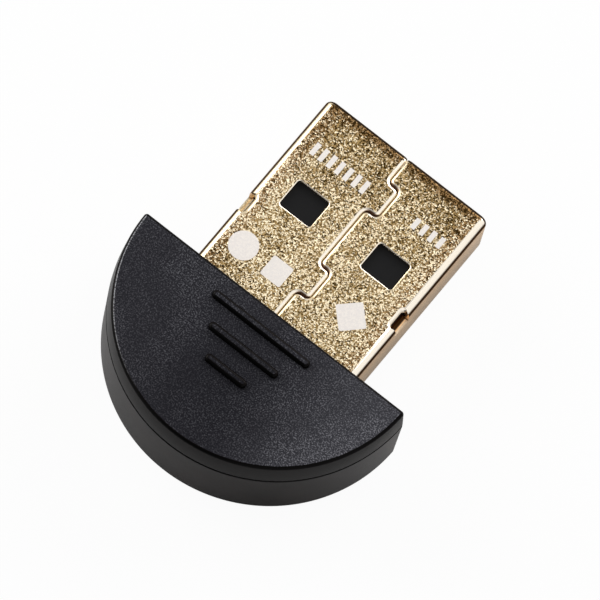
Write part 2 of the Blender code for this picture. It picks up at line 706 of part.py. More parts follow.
def make_radio_chip(finish):
    """The radio chip's flat square body, under the board."""
    chip = add_object("radio_chip", block(CHIP_SIZE, CHIP_CHAMFER), finish)
    return seat_on_board(chip, 0.0, FRONT_ROW_Y - CHIP_SIZE[1] / 2, under=True)


def second_row(size, side):
    """Where a part of the second row stands, beside the antenna's width on one side."""
    x = ANTENNA_SIZE[0] / 2 + PART_GAP + size[0] / 2
    return side * x, CONTACT_BACK_Y - PART_GAP - size[1] / 2


def make_memory_chip(finish):
    """The small memory that holds the adapter's settings."""
    chip = add_object("memory_chip", block(MEMORY_SIZE), finish)
    return seat_on_board(chip, *second_row(MEMORY_SIZE, -1))


def make_crystal(finish):
    """The clock crystal: a ceramic base with a smaller metal lid."""
    width, depth, height = CRYSTAL_SIZE
    lid_width = width - 2 * CRYSTAL_LID_INSET
    lid_depth = depth - 2 * CRYSTAL_LID_INSET
    rings = []
    for ring_width, ring_depth, z in (
        (width, depth, 0.0),
        (width, depth, height - CRYSTAL_LID_HEIGHT),
        (lid_width, lid_depth, height - CRYSTAL_LID_HEIGHT),
        (lid_width, lid_depth, height),
    ):
        corner = CRYSTAL_LID_INSET
        rings.append([(x, y, z) for x, y in rounded_rectangle(ring_width, ring_depth, corner, 2)])
    crystal = add_object("clock_crystal", loft(rings), finish)
    return seat_on_board(crystal, *second_row(CRYSTAL_SIZE, 1))


def make_antenna(finish):
    """The ceramic chip antenna, its back corners on the board's rim where nothing shields it."""
    width, depth, _ = ANTENNA_SIZE
    back_y = -math.sqrt((BOARD_RADIUS - PART_GAP) ** 2 - (width / 2) ** 2)
    antenna = add_object("chip_antenna", end_capped(ANTENNA_SIZE), finish)
    return seat_on_board(antenna, 0.0, back_y + depth / 2)


def make_regulator(finish):
    """The voltage regulator, beside the radio chip: three leads on one side and two on the other."""
    width, depth, _ = REGULATOR_SIZE
    regulator = add_object("voltage_regulator", block(REGULATOR_SIZE), finish)
    for side, offsets in ((-1, (-1, 0, 1)), (1, (-1, 1))):
        for offset in offsets:
            x = offset * LEAD_PITCH
            inner = side * (depth / 2 - LEAD_THICKNESS)
            outer = side * (depth / 2 + LEAD_REACH)
            low = (x - LEAD_WIDTH / 2, min(inner, outer), 0.0)
            high = (x + LEAD_WIDTH / 2, max(inner, outer), LEAD_THICKNESS)
            lead = add_object("regulator_lead", box(low, high))
            lead.parent = regulator
            boolean(regulator, "UNION", lead)
    return seat_on_board(regulator, beside_chip(width), FRONT_ROW_Y - LEAD_REACH - depth / 2, under=True)


def beside_chip(width, columns=0):
    """How far out a part stands beside the radio chip, past some columns of capacitors."""
    column = CAPACITOR_SIZE[0] + ROW_GAP
    return CHIP_SIZE[0] / 2 + ROW_GAP + columns * column + width / 2


def between_tails(near_x, far_x):
    """The middle of the gap between two neighbouring contact tails."""
    return (near_x + far_x) / 2


def make_small_parts(finishes):
    """Capacitors, resistors, the inductor and the protection diode, in rows behind the board's front edge."""
    inner_x = INNER_CONTACT_SPACING / 2
    outer_x = OUTER_CONTACT_SPACING / 2
    tail_edge = outer_x + CONTACT_TAIL_WIDTH / 2
    notch_edge = PLUG_WIDTH / 2 - SHEET - LEG_NOTCH_GAP
    middle = between_tails(inner_x, outer_x)
    edge = (tail_edge + notch_edge) / 2
    top_y = FRONT_ROW_Y - CAPACITOR_SIZE[1] / 2
    next_y = top_y - CAPACITOR_SIZE[1] - ROW_GAP
    inductor_y = CONTACT_BACK_Y - PART_GAP - INDUCTOR_SIZE[1] / 2
    diode_x = beside_chip(DIODE_SIZE[0])
    diode_y = FRONT_ROW_Y - 2 * LEAD_REACH - REGULATOR_SIZE[1] - ROW_GAP - DIODE_SIZE[1] / 2
    near_x = -beside_chip(CAPACITOR_SIZE[0])
    far_x = -beside_chip(CAPACITOR_SIZE[0], columns=1)
    places = [
        ("capacitor_1", CAPACITOR_SIZE, "ceramic", -middle, top_y, False),
        ("capacitor_2", CAPACITOR_SIZE, "ceramic", middle, top_y, False),
        ("capacitor_3", CAPACITOR_SIZE, "ceramic", near_x, top_y, True),
        ("capacitor_4", CAPACITOR_SIZE, "ceramic", near_x, next_y, True),
        ("capacitor_5", CAPACITOR_SIZE, "ceramic", far_x, top_y, True),
        ("capacitor_6", CAPACITOR_SIZE, "ceramic", far_x, next_y, True),
        ("resistor_1", RESISTOR_SIZE, "resistor", -edge, top_y, False),
        ("resistor_2", RESISTOR_SIZE, "resistor", edge, top_y, False),
        ("resistor_3", RESISTOR_SIZE, "resistor", 0.0, top_y, False),
        ("inductor", INDUCTOR_SIZE, "ferrite", 0.0, inductor_y, False),
        ("protection_diode", DIODE_SIZE, "resin", diode_x, diode_y, True),
    ]
    for name, size, finish, x, y, under in places:
        seat_on_board(add_object(name, end_capped(size), finishes[finish]), x, y, under)


def clear_scene():
    """Start from an empty scene, without closing the file."""
    for obj in list(bpy.data.objects):
        bpy.data.objects.remove(obj, do_unlink=True)


def make_finishes():
    """The materials that the pieces are made of."""
    return {
        "housing": finish_of("black moulded plastic", (0.022, 0.023, 0.027), 0.55),
        "plug": finish_of("plated sheet", (0.60, 0.47, 0.30), 0.38, 1.0),
        "insulator": finish_of("black insulator plastic", (0.012, 0.012, 0.013), 0.5),
        "contact": finish_of("gold plate", (0.83, 0.60, 0.26), 0.25, 1.0),
        "board": finish_of("green laminate", (0.02, 0.10, 0.04), 0.45),
        "resin": finish_of("black chip resin", (0.02, 0.02, 0.02), 0.6),
        "crystal": finish_of("nickel lid", (0.55, 0.54, 0.50), 0.3, 1.0),
        "antenna": finish_of("white ceramic", (0.72, 0.72, 0.70), 0.5),
        "ceramic": finish_of("tan ceramic", (0.33, 0.22, 0.13), 0.5),
        "resistor": finish_of("black resistor glaze", (0.03, 0.03, 0.03), 0.35),
        "ferrite": finish_of("grey ferrite", (0.10, 0.10, 0.11), 0.6),
    }


def place_adapter():
    """Carry every piece on one empty, and put the underside on z = 0 with the plan centred."""
    carrier = bpy.data.objects.new("adapter", None)
    bpy.context.scene.collection.objects.link(carrier)
    for obj in bpy.data.objects:
        if obj is not carrier and obj.parent is None:
            obj.parent = carrier
    carrier.location = (0.0, (HOUSING_RADIUS - PLUG_REACH) / 2, HOUSING_HEIGHT / 2)


clear_scene()
finishes = make_finishes()
make_lower_shell(finishes["housing"])
make_upper_shell(finishes["housing"])
make_plug_shell(finishes["plug"])
make_insulator(finishes["insulator"])
for contact_name, contact_x, contact_front in contact_places():
    make_contact(contact_name, contact_x, contact_front, finishes["contact"])
make_board(finishes["board"])
make_radio_chip(finishes["resin"])
make_memory_chip(finishes["resin"])
make_crystal(finishes["crystal"])
make_antenna(finishes["antenna"])
make_regulator(finishes["resin"])
make_small_parts(finishes)
place_adapter()
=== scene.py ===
"""Looks for a half-moon wireless adapter: a black moulded housing round a gold-coloured folded plug."""

import math

import bmesh
import bpy
from mathutils import Matrix, Vector


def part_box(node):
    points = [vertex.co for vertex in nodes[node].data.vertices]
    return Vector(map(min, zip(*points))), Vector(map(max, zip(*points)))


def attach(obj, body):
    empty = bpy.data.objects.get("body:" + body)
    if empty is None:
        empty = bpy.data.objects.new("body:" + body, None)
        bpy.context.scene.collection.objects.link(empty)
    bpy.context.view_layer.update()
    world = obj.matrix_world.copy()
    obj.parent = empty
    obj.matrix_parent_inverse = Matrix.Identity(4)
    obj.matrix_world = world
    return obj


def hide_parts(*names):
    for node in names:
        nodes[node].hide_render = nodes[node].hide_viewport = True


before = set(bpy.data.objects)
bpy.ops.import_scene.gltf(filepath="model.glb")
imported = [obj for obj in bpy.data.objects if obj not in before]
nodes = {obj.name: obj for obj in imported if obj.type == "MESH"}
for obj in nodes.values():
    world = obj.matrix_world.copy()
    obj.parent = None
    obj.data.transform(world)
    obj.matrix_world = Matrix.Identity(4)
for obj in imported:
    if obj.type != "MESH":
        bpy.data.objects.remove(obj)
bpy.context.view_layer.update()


# Camera
# A long lens above and behind the housing, rolled so that the plug points up and to the right. Its
# place and its angles were fitted to the photograph.
MM = 0.001
CAMERA_AIM = Vector((0.15, 1.04, 3.65)) * MM
CAMERA_AZIMUTH = math.radians(22.89)
CAMERA_ELEVATION = math.radians(70.96)
CAMERA_ROLL = math.radians(16.10)
CAMERA_DISTANCE = 800.8 * MM
CAMERA_NEAR = 10 * MM
CAMERA_FAR = 5000 * MM
CAMERA_LENS = 814.0
CAMERA_SENSOR = 36.0

back = Vector((
    math.sin(CAMERA_AZIMUTH) * math.cos(CAMERA_ELEVATION),
    -math.cos(CAMERA_AZIMUTH) * math.cos(CAMERA_ELEVATION),
    math.sin(CAMERA_ELEVATION),
))
level_right = Vector((math.cos(CAMERA_AZIMUTH), math.sin(CAMERA_AZIMUTH), 0.0))
level_up = back.cross(level_right)
right = level_right * math.cos(CAMERA_ROLL) + level_up * math.sin(CAMERA_ROLL)
up = back.cross(right)

camera_data = bpy.data.cameras.new("camera")
camera_data.lens = CAMERA_LENS
camera_data.sensor_width = CAMERA_SENSOR
camera_data.clip_start = CAMERA_NEAR
camera_data.clip_end = CAMERA_FAR
camera = bpy.data.objects.new("camera", camera_data)
turned = Matrix((right, up, back)).transposed().to_4x4()
camera.matrix_world = Matrix.Translation(CAMERA_AIM + back * CAMERA_DISTANCE) @ turned
bpy.context.scene.collection.objects.link(camera)
bpy.context.scene.camera = camera
bpy.context.scene.view_settings.view_transform = "Standard"


# Table and light
# A white table in a light tent that is dark at its near and far ends and bright at its sides. The camera
# sees the table and the tent as white, shiny surfaces see white sides, and the table keeps a soft shadow.
TABLE_SIZE = 600 * MM
TABLE_WHITE = "F4F4F4"
TENT_WHITE = "FFFFFF"
SHADOW_SHARE = 0.05
MIRRORED_TABLE = 0.06
MIRRORED_TENT = 0.12
MIRRORED_SIDE = 1.0
TENT_LEVEL = 0.42
TENT_DARK = 0.03
SOFTBOX_SIZE = 220 * MM
SOFTBOX_POWER = 0.62
LEFT_SOFTBOX = Vector((-250, -10, 135)) * MM
RIGHT_SOFTBOX = Vector((60, 245, 135)) * MM
EASED = {"interpolation_type": "SMOOTHSTEP"}


def linear(hex_colour):
    """An sRGB hex colour as linear red, green, blue and alpha."""
    values = [int(hex_colour[i:i + 2], 16) / 255 for i in (0, 2, 4)]
    return [v / 12.92 if v <= 0.04045 else ((v + 0.055) / 1.055) ** 2.4 for v in values] + [1.0]


def add(tree, kind, inputs=None, **settings):
    """Add one node. An input is a value, an output, or a node that gives its first output."""
    made = tree.nodes.new("ShaderNode" + kind)
    for name, value in settings.items():
        setattr(made, name, value)
    for name, value in (inputs or {}).items():
        if isinstance(value, bpy.types.Node):
            value = next(output for output in value.outputs if output.enabled)
        if isinstance(value, bpy.types.NodeSocket):
            tree.links.new(value, made.inputs[name])
        else:
            made.inputs[name].default_value = value
    return made


def span(start, end, low=0.0, high=1.0):
    """The inputs of a Map Range node that goes from low at start to high at end."""
    return {"From Min": start, "From Max": end, "To Min": low, "To Max": high}


def white_share(tree, to_camera, to_mirrors):
    """How much of the white studio a ray sees: one from the camera, or a reflected or transmitted one."""
    ray = add(tree, "LightPath").outputs
    mirrored = add(tree, "Math", {
        0: ray["Is Glossy Ray"],
        1: ray["Is Transmission Ray"],
    }, operation="MAXIMUM")
    weak = add(tree, "Math", {0: mirrored, 1: to_mirrors}, operation="MULTIPLY")
    strong = add(tree, "Math", {0: ray["Is Camera Ray"], 1: to_camera}, operation="MULTIPLY")
    return add(tree, "Math", {0: weak, 1: strong}, operation="MAXIMUM")


def empty_material(name):
    """A new material whose tree holds only its output."""
    material = bpy.data.materials.new(name)
    material.use_nodes = True
    material.node_tree.nodes.remove(material.node_tree.nodes["Principled BSDF"])
    return material, material.node_tree, material.node_tree.nodes["Material Output"]


TENT_ENDS = span(0.32, 0.8, TENT_LEVEL, TENT_DARK)
TENT_SIDES = span(0.2, 0.45, MIRRORED_TENT, MIRRORED_SIDE)

table_paper, tree, out = empty_material("white_paper")
lit = add(tree, "BsdfDiffuse", {"Color": linear(TABLE_WHITE)})
glow = add(tree, "Emission", {"Color": linear(TENT_WHITE)})
share = white_share(tree, 1.0 - SHADOW_SHARE, MIRRORED_TABLE)
mixed = add(tree, "MixShader", {0: share, 1: lit, 2: glow})
tree.links.new(mixed.outputs[0], out.inputs["Surface"])

half = TABLE_SIZE / 2
corners = [(-half, -half, 0), (half, -half, 0), (half, half, 0), (-half, half, 0)]
table_mesh = bpy.data.meshes.new("table")
table_mesh.from_pydata(corners, [], [(0, 1, 2, 3)])
table_mesh.materials.append(table_paper)
table = bpy.data.objects.new("table", table_mesh)
bpy.context.scene.collection.objects.link(table)

world = bpy.data.worlds.new("tent")
bpy.context.scene.world = world
world.use_nodes = True
tree = world.node_tree
way = add(tree, "SeparateXYZ", {0: add(tree, "TexCoord").outputs["Generated"]})
endwise = add(tree, "Math", {0: way.outputs["Y"]}, operation="ABSOLUTE")
level = add(tree, "MapRange", {"Value": endwise, **TENT_ENDS}, **EASED)
sidewise = add(tree, "Math", {0: way.outputs["X"]}, operation="ABSOLUTE")
mirrored_side = add(tree, "MapRange", {"Value": sidewise, **TENT_SIDES}, **EASED)
dim = add(tree, "Background", {"Color": linear(TENT_WHITE), "Strength": level})
white = add(tree, "Background", {"Color": linear(TENT_WHITE)})
share = white_share(tree, 1.0, mirrored_side)
mixed = add(tree, "MixShader", {0: share, 1: dim, 2: white})
tree.links.new(mixed.outputs[0], tree.nodes["World Output"].inputs["Surface"])

for name, spot in (("left_softbox", LEFT_SOFTBOX), ("right_softbox", RIGHT_SOFTBOX)):
    lamp_data = bpy.data.lights.new(name, "AREA")
    lamp_data.shape = "SQUARE"
    lamp_data.size = SOFTBOX_SIZE
    lamp_data.energy = SOFTBOX_POWER
    lamp = bpy.data.objects.new(name, lamp_data)
    lamp.location = spot
    lamp.rotation_mode = "QUATERNION"
    lamp.rotation_quaternion = spot.to_track_quat("Z", "Y")
    bpy.context.scene.collection.objects.link(lamp)


# Lower shell
# The deeper half of the housing: black ABS, injection moulded, with a satin wall and a lip that
# stands up inside the other shell's edge.
UPPER_SHELL_DEPTH = 1.95 * MM
PARTING_GAP = 0.08 * MM
PARTING_ROUND = 0.1 * MM
TOP_DRAFT = 0.16 * MM
BOTTOM_DRAFT = 0.08 * MM
HOUSING_CORNER = 0.2 * MM
SMALLEST_CORNER = 0.08 * MM
CREASE = math.radians(35)
WALL = 1.1 * MM
LIP_INSET = 0.6 * MM
LIP_HEIGHT = 0.6 * MM
LIP_CLEARANCE = 0.05 * MM
BOTTOM_ROUND = 0.4 * MM
TOP_ROUND = 0.2 * MM
RIB_HEIGHT = 0.32 * MM
ARC_STEPS = 200
CORNER_STEPS = 8
ROUND_STEPS = 8

lower_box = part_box("lower_shell")
upper_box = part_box("upper_shell")
front_y = upper_box[1].y
housing_radius = lower_box[1].x
top_z = upper_box[1].z - RIB_HEIGHT
parting_z = top_z - UPPER_SHELL_DEPTH
bottom_z = lower_box[0].z


def arc(centre_x, centre_y, radius, start, end, steps):
    """Points along an arc, both ends included."""
    points = []
    for i in range(steps + 1):
        angle = start + (end - start) * i / steps
        points.append((centre_x + radius * math.cos(angle), centre_y + radius * math.sin(angle)))
    return points


def half_moon(radius, inset):
    """The housing's plan outline, moved in by inset: straight front, round back and corners."""
    reach = radius - inset
    corner = max(HOUSING_CORNER - inset, SMALLEST_CORNER)
    corner_y = -inset - corner
    corner_x = math.sqrt((reach - corner) ** 2 - corner_y ** 2)
    meet = math.atan2(corner_y, corner_x)
    points = arc(corner_x, corner_y, corner, math.pi / 2, meet, CORNER_STEPS)
    points += arc(0.0, 0.0, reach, meet, -math.pi - meet, ARC_STEPS)[1:-1]
    points += arc(-corner_x, corner_y, corner, -math.pi - meet, -1.5 * math.pi, CORNER_STEPS)
    return points


def wall_radius(z):
    """The drafted wall's radius at a level, widest at the parting line."""
    if z > parting_z:
        return housing_radius - TOP_DRAFT * (z - parting_z) / (top_z - parting_z)
    return housing_radius - BOTTOM_DRAFT * (parting_z - z) / (parting_z - bottom_z)


def loft(rings):
    """A closed body through rings of equally many points, capped at both ends."""
    body = bmesh.new()
    loops = [[body.verts.new(point) for point in ring] for ring in rings]
    for near, far in zip(loops, loops[1:]):
        for i in range(len(near)):
            j = (i + 1) % len(near)
            body.faces.new((near[i], near[j], far[j], far[i]))
    body.faces.new(loops[0])
    body.faces.new(loops[-1])
    bmesh.ops.recalc_face_normals(body, faces=body.faces)
    return body


def edge_round(z, rise):
    """Levels and insets from an edge's face at z round to its wall, which starts a rise above or below."""
    turns = [math.pi / 2 * i / ROUND_STEPS for i in range(ROUND_STEPS + 1)]
    return [(z + rise * (1 - math.cos(turn)), abs(rise) * (1 - math.sin(turn))) for turn in turns]


def moulding(levels):
    """A body through the housing's outline at each level and inset, placed behind the front face."""
    rings = []
    for z, inset in levels:
        rings.append([(x, y + front_y, z) for x, y in half_moon(wall_radius(z), inset)])
    return loft(rings)


def add_piece(name, body):
    """Turn a finished bmesh into a piece, smooth up to the crease angle."""
    mesh = bpy.data.meshes.new(name)
    body.to_mesh(mesh)
    body.free()
    mesh.shade_smooth()
    mesh.set_sharp_from_angle(angle=CREASE)
    piece = bpy.data.objects.new(name, mesh)
    bpy.context.scene.collection.objects.link(piece)
    return piece


def combine(piece, operation, body):
    """Cut a bmesh out of a piece, or add it, and keep the result as the piece's own mesh."""
    tool = add_piece("tool", body)
    modifier = piece.modifiers.new("combine", "BOOLEAN")
    modifier.operation = operation
    modifier.solver = "EXACT"
    modifier.object = tool
    bpy.context.view_layer.update()
    shaped = piece.evaluated_get(bpy.context.evaluated_depsgraph_get())
    mesh = bpy.data.meshes.new_from_object(shaped)
    piece.modifiers.clear()
    old = piece.data
    piece.data = mesh
    bpy.data.meshes.remove(old)
    bpy.data.objects.remove(tool)
    mesh.name = piece.name


def finish_shading(piece):
    """Mark the hard edges afresh and let large flat faces keep their own shading."""
    piece.data.shade_smooth()
    piece.data.set_sharp_from_angle(angle=CREASE)
    weighted = piece.modifiers.new("weighted", "WEIGHTED_NORMAL")
    weighted.keep_sharp = True


PLUG_GAP = 0.03 * MM
PLUG_HEIGHT = 4.5 * MM
PLUG_BEND = 0.6 * MM
BEND_STEPS = 10

plug_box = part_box("plug_shell")
plug_width = plug_box[1].x - plug_box[0].x
plug_top = plug_box[1].z
plug_axis_z = plug_top - PLUG_HEIGHT / 2
tip_y = plug_box[1].y


def plug_section(inset):
    """The plug's outer section, moved in by inset."""
    radius = max(PLUG_BEND - inset, SMALLEST_CORNER)
    reach_x = plug_width / 2 - inset - radius
    reach_z = PLUG_HEIGHT / 2 - inset - radius
    points = []
    for turn, (side_x, side_z) in enumerate(((1, 1), (-1, 1), (-1, -1), (1, -1))):
        start = turn * math.pi / 2
        points += arc(side_x * reach_x, side_z * reach_z, radius, start, start + math.pi / 2, BEND_STEPS)
    return [(x, z + plug_axis_z) for x, z in points]


def plug_passage():
    """What the plug's root takes out of the housing's front wall."""
    section = plug_section(-PLUG_GAP)
    return loft([[(x, y, z) for x, z in section] for y in (front_y - 2 * WALL, front_y + WALL)])


edge = parting_z - PARTING_GAP / 2
lip_top = parting_z + LIP_HEIGHT
levels = [(bottom_z + WALL, WALL), (lip_top, WALL), (lip_top, LIP_INSET), (edge, LIP_INSET)]
levels += edge_round(edge, -PARTING_ROUND) + edge_round(bottom_z, BOTTOM_ROUND)[::-1]
lower_shell = add_piece("lower_moulding", moulding(levels))
combine(lower_shell, "DIFFERENCE", plug_passage())
finish_shading(lower_shell)


def mm_coordinates(tree):
    """The piece's own coordinates in millimetres."""
    return add(tree, "VectorMath", {
        0: add(tree, "TexCoord").outputs["Object"],
        1: (1 / MM, 1 / MM, 1 / MM),
    }, operation="MULTIPLY")


# Black ABS. The flat faces come from a spark-eroded mould, whose pits leave a fine matt grain, on which
# pale specks are painted glints. Real pits are about 0.03 mm wide, too fine to show, so they are drawn
# three times as wide. The face is paler outward from one spot and towards the right, as painted light.
# The wall comes from a drawn and stoned mould, so it is satin and a little warmer. The round of the top
# edge, the ribs' near flanks and the parting line are painted black, as painted dark reflection and
# painted shade. The left rim has a painted highlight.
ABS_BLACK = "1B1B20"
ABS_SPECK_GLINT = "7A7A80"
ABS_PAINTED_LIGHT = "39393E"
ABS_WALL = "15100E"
ABS_WALL_WORN = "1E1716"
ABS_UPPER_WALL = "0D0A0A"
ABS_PAINTED_SHADE = "060606"
ABS_PAINTED_HIGHLIGHT = "ACACB0"
ABS_SHEEN = "FFF5F3"
SPARK_GRAIN = 0.085
STONED_GRAIN = 0.09
GRAIN_DEPTH = 0.02 * MM
WORN_PATCH = 2.857
SPECKS_IN_SHADE = 0.25
SPECKS_IN_LIGHT = 0.9
DARKEST_SPOT = (1.5, -8.5)
PARTING_SHADE = 0.24
PARTING_BLEND = 0.1
WALL_RELIEF = 0.25
FACE_RELIEF = 0.8
WALL_ROUGHNESS = 0.28
FACE_ROUGHNESS = 0.45
# Where one finish gives way to the next. A tilt is 1 where the surface lies flat and 0 where it stands
# upright, a facing is the part of its direction along one axis, and places are in millimetres.
FACE_TILT = span(0.985, 0.9995)
OFF_WALL_TILT = span(0.15, 0.4)
OFF_FACE_TILT = span(0.95, 0.99, 1.0, 0.0)
RIM_TILT = span(0.88, 0.95)
INNER_RIM_TILT = span(0.98, 0.998, 1.0, 0.0)
LIGHT_OUTWARD = span(0.5, 9.0, 0.0, 0.25)
LIGHT_TO_RIGHT = span(1.0, 9.0, 0.0, 0.75)
SPECK_LEVELS = span(0.45, 0.74)
PATCH_LEVELS = span(0.35, 0.65)
PATCHY_SPECKS = span(0.35, 0.65, 0.65, 1.35)
ABOVE_PARTING = span(parting_z / MM - PARTING_BLEND, parting_z / MM + PARTING_BLEND)
AT_PARTING = span(0.6 * PARTING_SHADE, PARTING_SHADE, 1.0, 0.0)
ON_RIB = span(top_z / MM + 0.01, top_z / MM + 0.03)
NEAR_FLANK_FACING = span(-0.3, 0.1, 1.0, 0.0)
HIGHLIGHT_LEFT = span(-8.5, -3.0, 1.0, 0.0)
HIGHLIGHT_LEVELS = span(0.4, 0.6, 0.25, 1.0)
OFF_FRONT_FACING = span(0.03, 0.12, 1.0, 0.0)

abs_black, tree, out = empty_material("black_abs")
mm = mm_coordinates(tree)
place = add(tree, "SeparateXYZ", {0: mm})
facing = add(tree, "SeparateXYZ", {0: add(tree, "NewGeometry").outputs["Normal"]})
tilt = add(tree, "Math", {0: facing.outputs["Z"]}, operation="ABSOLUTE")
flat = add(tree, "MapRange", {"Value": tilt, **FACE_TILT}, **EASED)
spark = add(tree, "TexNoise", {"Vector": mm, "Scale": 1 / SPARK_GRAIN, "Detail": 2.0})
stoned = add(tree, "TexNoise", {"Vector": mm, "Scale": 1 / STONED_GRAIN, "Detail": 2.0})
patches = add(tree, "TexNoise", {"Vector": mm, "Scale": 1 / WORN_PATCH, "Detail": 3.0})

# The face, paler as painted light: outward from its darkest spot and towards the right.
from_spot = add(tree, "VectorMath", {0: mm, 1: (*DARKEST_SPOT, top_z / MM)}, operation="DISTANCE")
outward = add(tree, "MapRange", {"Value": from_spot, **LIGHT_OUTWARD}, **EASED)
sideways = add(tree, "MapRange", {"Value": place.outputs["X"], **LIGHT_TO_RIGHT}, **EASED)
painted_light = add(tree, "Math", {0: outward, 1: sideways}, operation="ADD")
face = add(tree, "Mix", {0: painted_light, 6: linear(ABS_BLACK), 7: linear(ABS_PAINTED_LIGHT)}, data_type="RGBA")
# The pale specks are painted glints on the grain, shown more where the face has painted light.
speck = add(tree, "MapRange", {"Value": spark, **SPECK_LEVELS}, **EASED)
speck_share = add(tree, "Math", {0: painted_light, 1: SPECKS_IN_LIGHT, 2: SPECKS_IN_SHADE}, operation="MULTIPLY_ADD")
patchy = add(tree, "MapRange", {"Value": patches, **PATCHY_SPECKS}, **EASED)
patched = add(tree, "Math", {0: speck_share, 1: patchy}, operation="MULTIPLY")
shown = add(tree, "Math", {0: speck, 1: patched}, operation="MULTIPLY")
grainy = add(tree, "Mix", {0: shown, 6: face, 7: linear(ABS_SPECK_GLINT)}, data_type="RGBA")

# The wall, darker above the parting line.
worn_wall = add(tree, "Mix", {
    0: add(tree, "MapRange", {"Value": patches, **PATCH_LEVELS}, **EASED),
    6: linear(ABS_WALL),
    7: linear(ABS_WALL_WORN),
}, data_type="RGBA")
wall = add(tree, "Mix", {
    0: add(tree, "MapRange", {"Value": place.outputs["Z"], **ABOVE_PARTING}, **EASED),
    6: worn_wall,
    7: linear(ABS_UPPER_WALL),
}, data_type="RGBA")
tone = add(tree, "Mix", {0: flat, 6: wall, 7: grainy}, data_type="RGBA")

# The black lines, painted shade and painted dark reflection: the round of the top edge, the ribs' near
# flanks, and the parting line.
off_wall = add(tree, "MapRange", {"Value": tilt, **OFF_WALL_TILT}, **EASED)
off_face = add(tree, "MapRange", {"Value": tilt, **OFF_FACE_TILT}, **EASED)
on_round = add(tree, "Math", {0: off_wall, 1: off_face}, operation="MULTIPLY")
on_rib = add(tree, "MapRange", {"Value": place.outputs["Z"], **ON_RIB}, **EASED)
near_flank = add(tree, "MapRange", {"Value": facing.outputs["Y"], **NEAR_FLANK_FACING}, **EASED)
lines = add(tree, "Mix", {0: on_rib, 2: 1.0, 3: near_flank}, data_type="FLOAT")
painted_dark = add(tree, "Math", {0: on_round, 1: lines}, operation="MULTIPLY")
from_parting = add(tree, "Math", {0: place.outputs["Z"], 1: parting_z / MM}, operation="SUBTRACT")
off_parting = add(tree, "Math", {0: from_parting}, operation="ABSOLUTE")
shade = add(tree, "MapRange", {"Value": off_parting, **AT_PARTING}, **EASED)
dark = add(tree, "Math", {0: painted_dark, 1: shade}, operation="MAXIMUM")
lined = add(tree, "Mix", {0: dark, 6: tone, 7: linear(ABS_PAINTED_SHADE)}, data_type="RGBA")

# A painted highlight on the rim, along the arc on the left and not on the straight front edge.
from_wall = add(tree, "MapRange", {"Value": tilt, **RIM_TILT}, **EASED)
to_face = add(tree, "MapRange", {"Value": tilt, **INNER_RIM_TILT}, **EASED)
on_rim = add(tree, "Math", {0: from_wall, 1: to_face}, operation="MULTIPLY")
on_left = add(tree, "MapRange", {"Value": place.outputs["X"], **HIGHLIGHT_LEFT}, **EASED)
off_front = add(tree, "MapRange", {"Value": facing.outputs["Y"], **OFF_FRONT_FACING}, **EASED)
on_arc = add(tree, "Math", {0: on_left, 1: off_front}, operation="MULTIPLY")
highlit_rim = add(tree, "Math", {0: on_rim, 1: on_arc}, operation="MULTIPLY")
spots = add(tree, "MapRange", {"Value": spark, **HIGHLIGHT_LEVELS}, **EASED)
painted_highlight = add(tree, "Math", {0: highlit_rim, 1: spots}, operation="MULTIPLY")
colour = add(tree, "Mix", {0: painted_highlight, 6: lined, 7: linear(ABS_PAINTED_HIGHLIGHT)}, data_type="RGBA")

grain = add(tree, "Mix", {0: flat, 2: stoned, 3: spark}, data_type="FLOAT")
relief = add(tree, "Mix", {0: flat, 2: WALL_RELIEF, 3: FACE_RELIEF}, data_type="FLOAT")
bump = add(tree, "Bump", {"Strength": relief, "Distance": GRAIN_DEPTH, "Height": grain})
rough = add(tree, "Mix", {0: flat, 2: WALL_ROUGHNESS, 3: FACE_ROUGHNESS}, data_type="FLOAT")
shader = add(tree, "BsdfPrincipled", {
    "Base Color": colour,
    "Roughness": rough,
    "IOR": 1.54,
    "Specular IOR Level": 0.045,
    "Specular Tint": linear(ABS_SHEEN),
    "Normal": bump,
})
tree.links.new(shader.outputs[0], out.inputs["Surface"])

lower_shell.data.materials.append(abs_black)
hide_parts("lower_shell")
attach(lower_shell, "root")


# Upper shell
# The shallow half of the housing, of the same ABS. Its spark-textured face ends in a small round,
# painted black as a dark reflection, and three raised ribs across it give the fingers a grip.
RIB_COUNT = 3
RIB_WIDTH = 0.56 * MM
RIB_LENGTH = 7.2 * MM
RIB_SHORTENING = 2.1 * MM
RIB_PITCH = 1.68 * MM
RIB_FROM_FRONT = 1.42 * MM
RIB_ROUND = 0.22 * MM
RIB_ROUND_TURN = math.radians(81)

edge = parting_z + PARTING_GAP / 2
rabbet_inset = LIP_INSET - LIP_CLEARANCE
rabbet_top = lip_top + LIP_CLEARANCE
levels = [(top_z - WALL, WALL), (rabbet_top, WALL), (rabbet_top, rabbet_inset), (edge, rabbet_inset)]
levels += edge_round(edge, PARTING_ROUND) + edge_round(top_z, -TOP_ROUND)[::-1]
upper_shell = add_piece("upper_moulding", moulding(levels))
combine(upper_shell, "DIFFERENCE", plug_passage())


def grip_rib(index):
    """A bar with round ends and a round top, its foot sunk into the face that it stands on."""
    y = front_y - RIB_FROM_FRONT - index * RIB_PITCH
    reach = (RIB_LENGTH - index * RIB_SHORTENING - RIB_WIDTH) / 2
    shoulder = top_z + RIB_HEIGHT - RIB_ROUND
    levels = [(top_z - WALL / 2, 0.0), (shoulder, 0.0)]
    for i in range(1, ROUND_STEPS + 1):
        turn = RIB_ROUND_TURN * i / ROUND_STEPS
        levels.append((shoulder + RIB_ROUND * math.sin(turn), RIB_ROUND * (1 - math.cos(turn))))
    rings = []
    for level, inset in levels:
        radius = RIB_WIDTH / 2 - inset
        plan = arc(reach, y, radius, -math.pi / 2, math.pi / 2, 2 * CORNER_STEPS)
        plan += arc(-reach, y, radius, math.pi / 2, 1.5 * math.pi, 2 * CORNER_STEPS)
        rings.append([(px, py, level) for px, py in plan])
    return loft(rings)


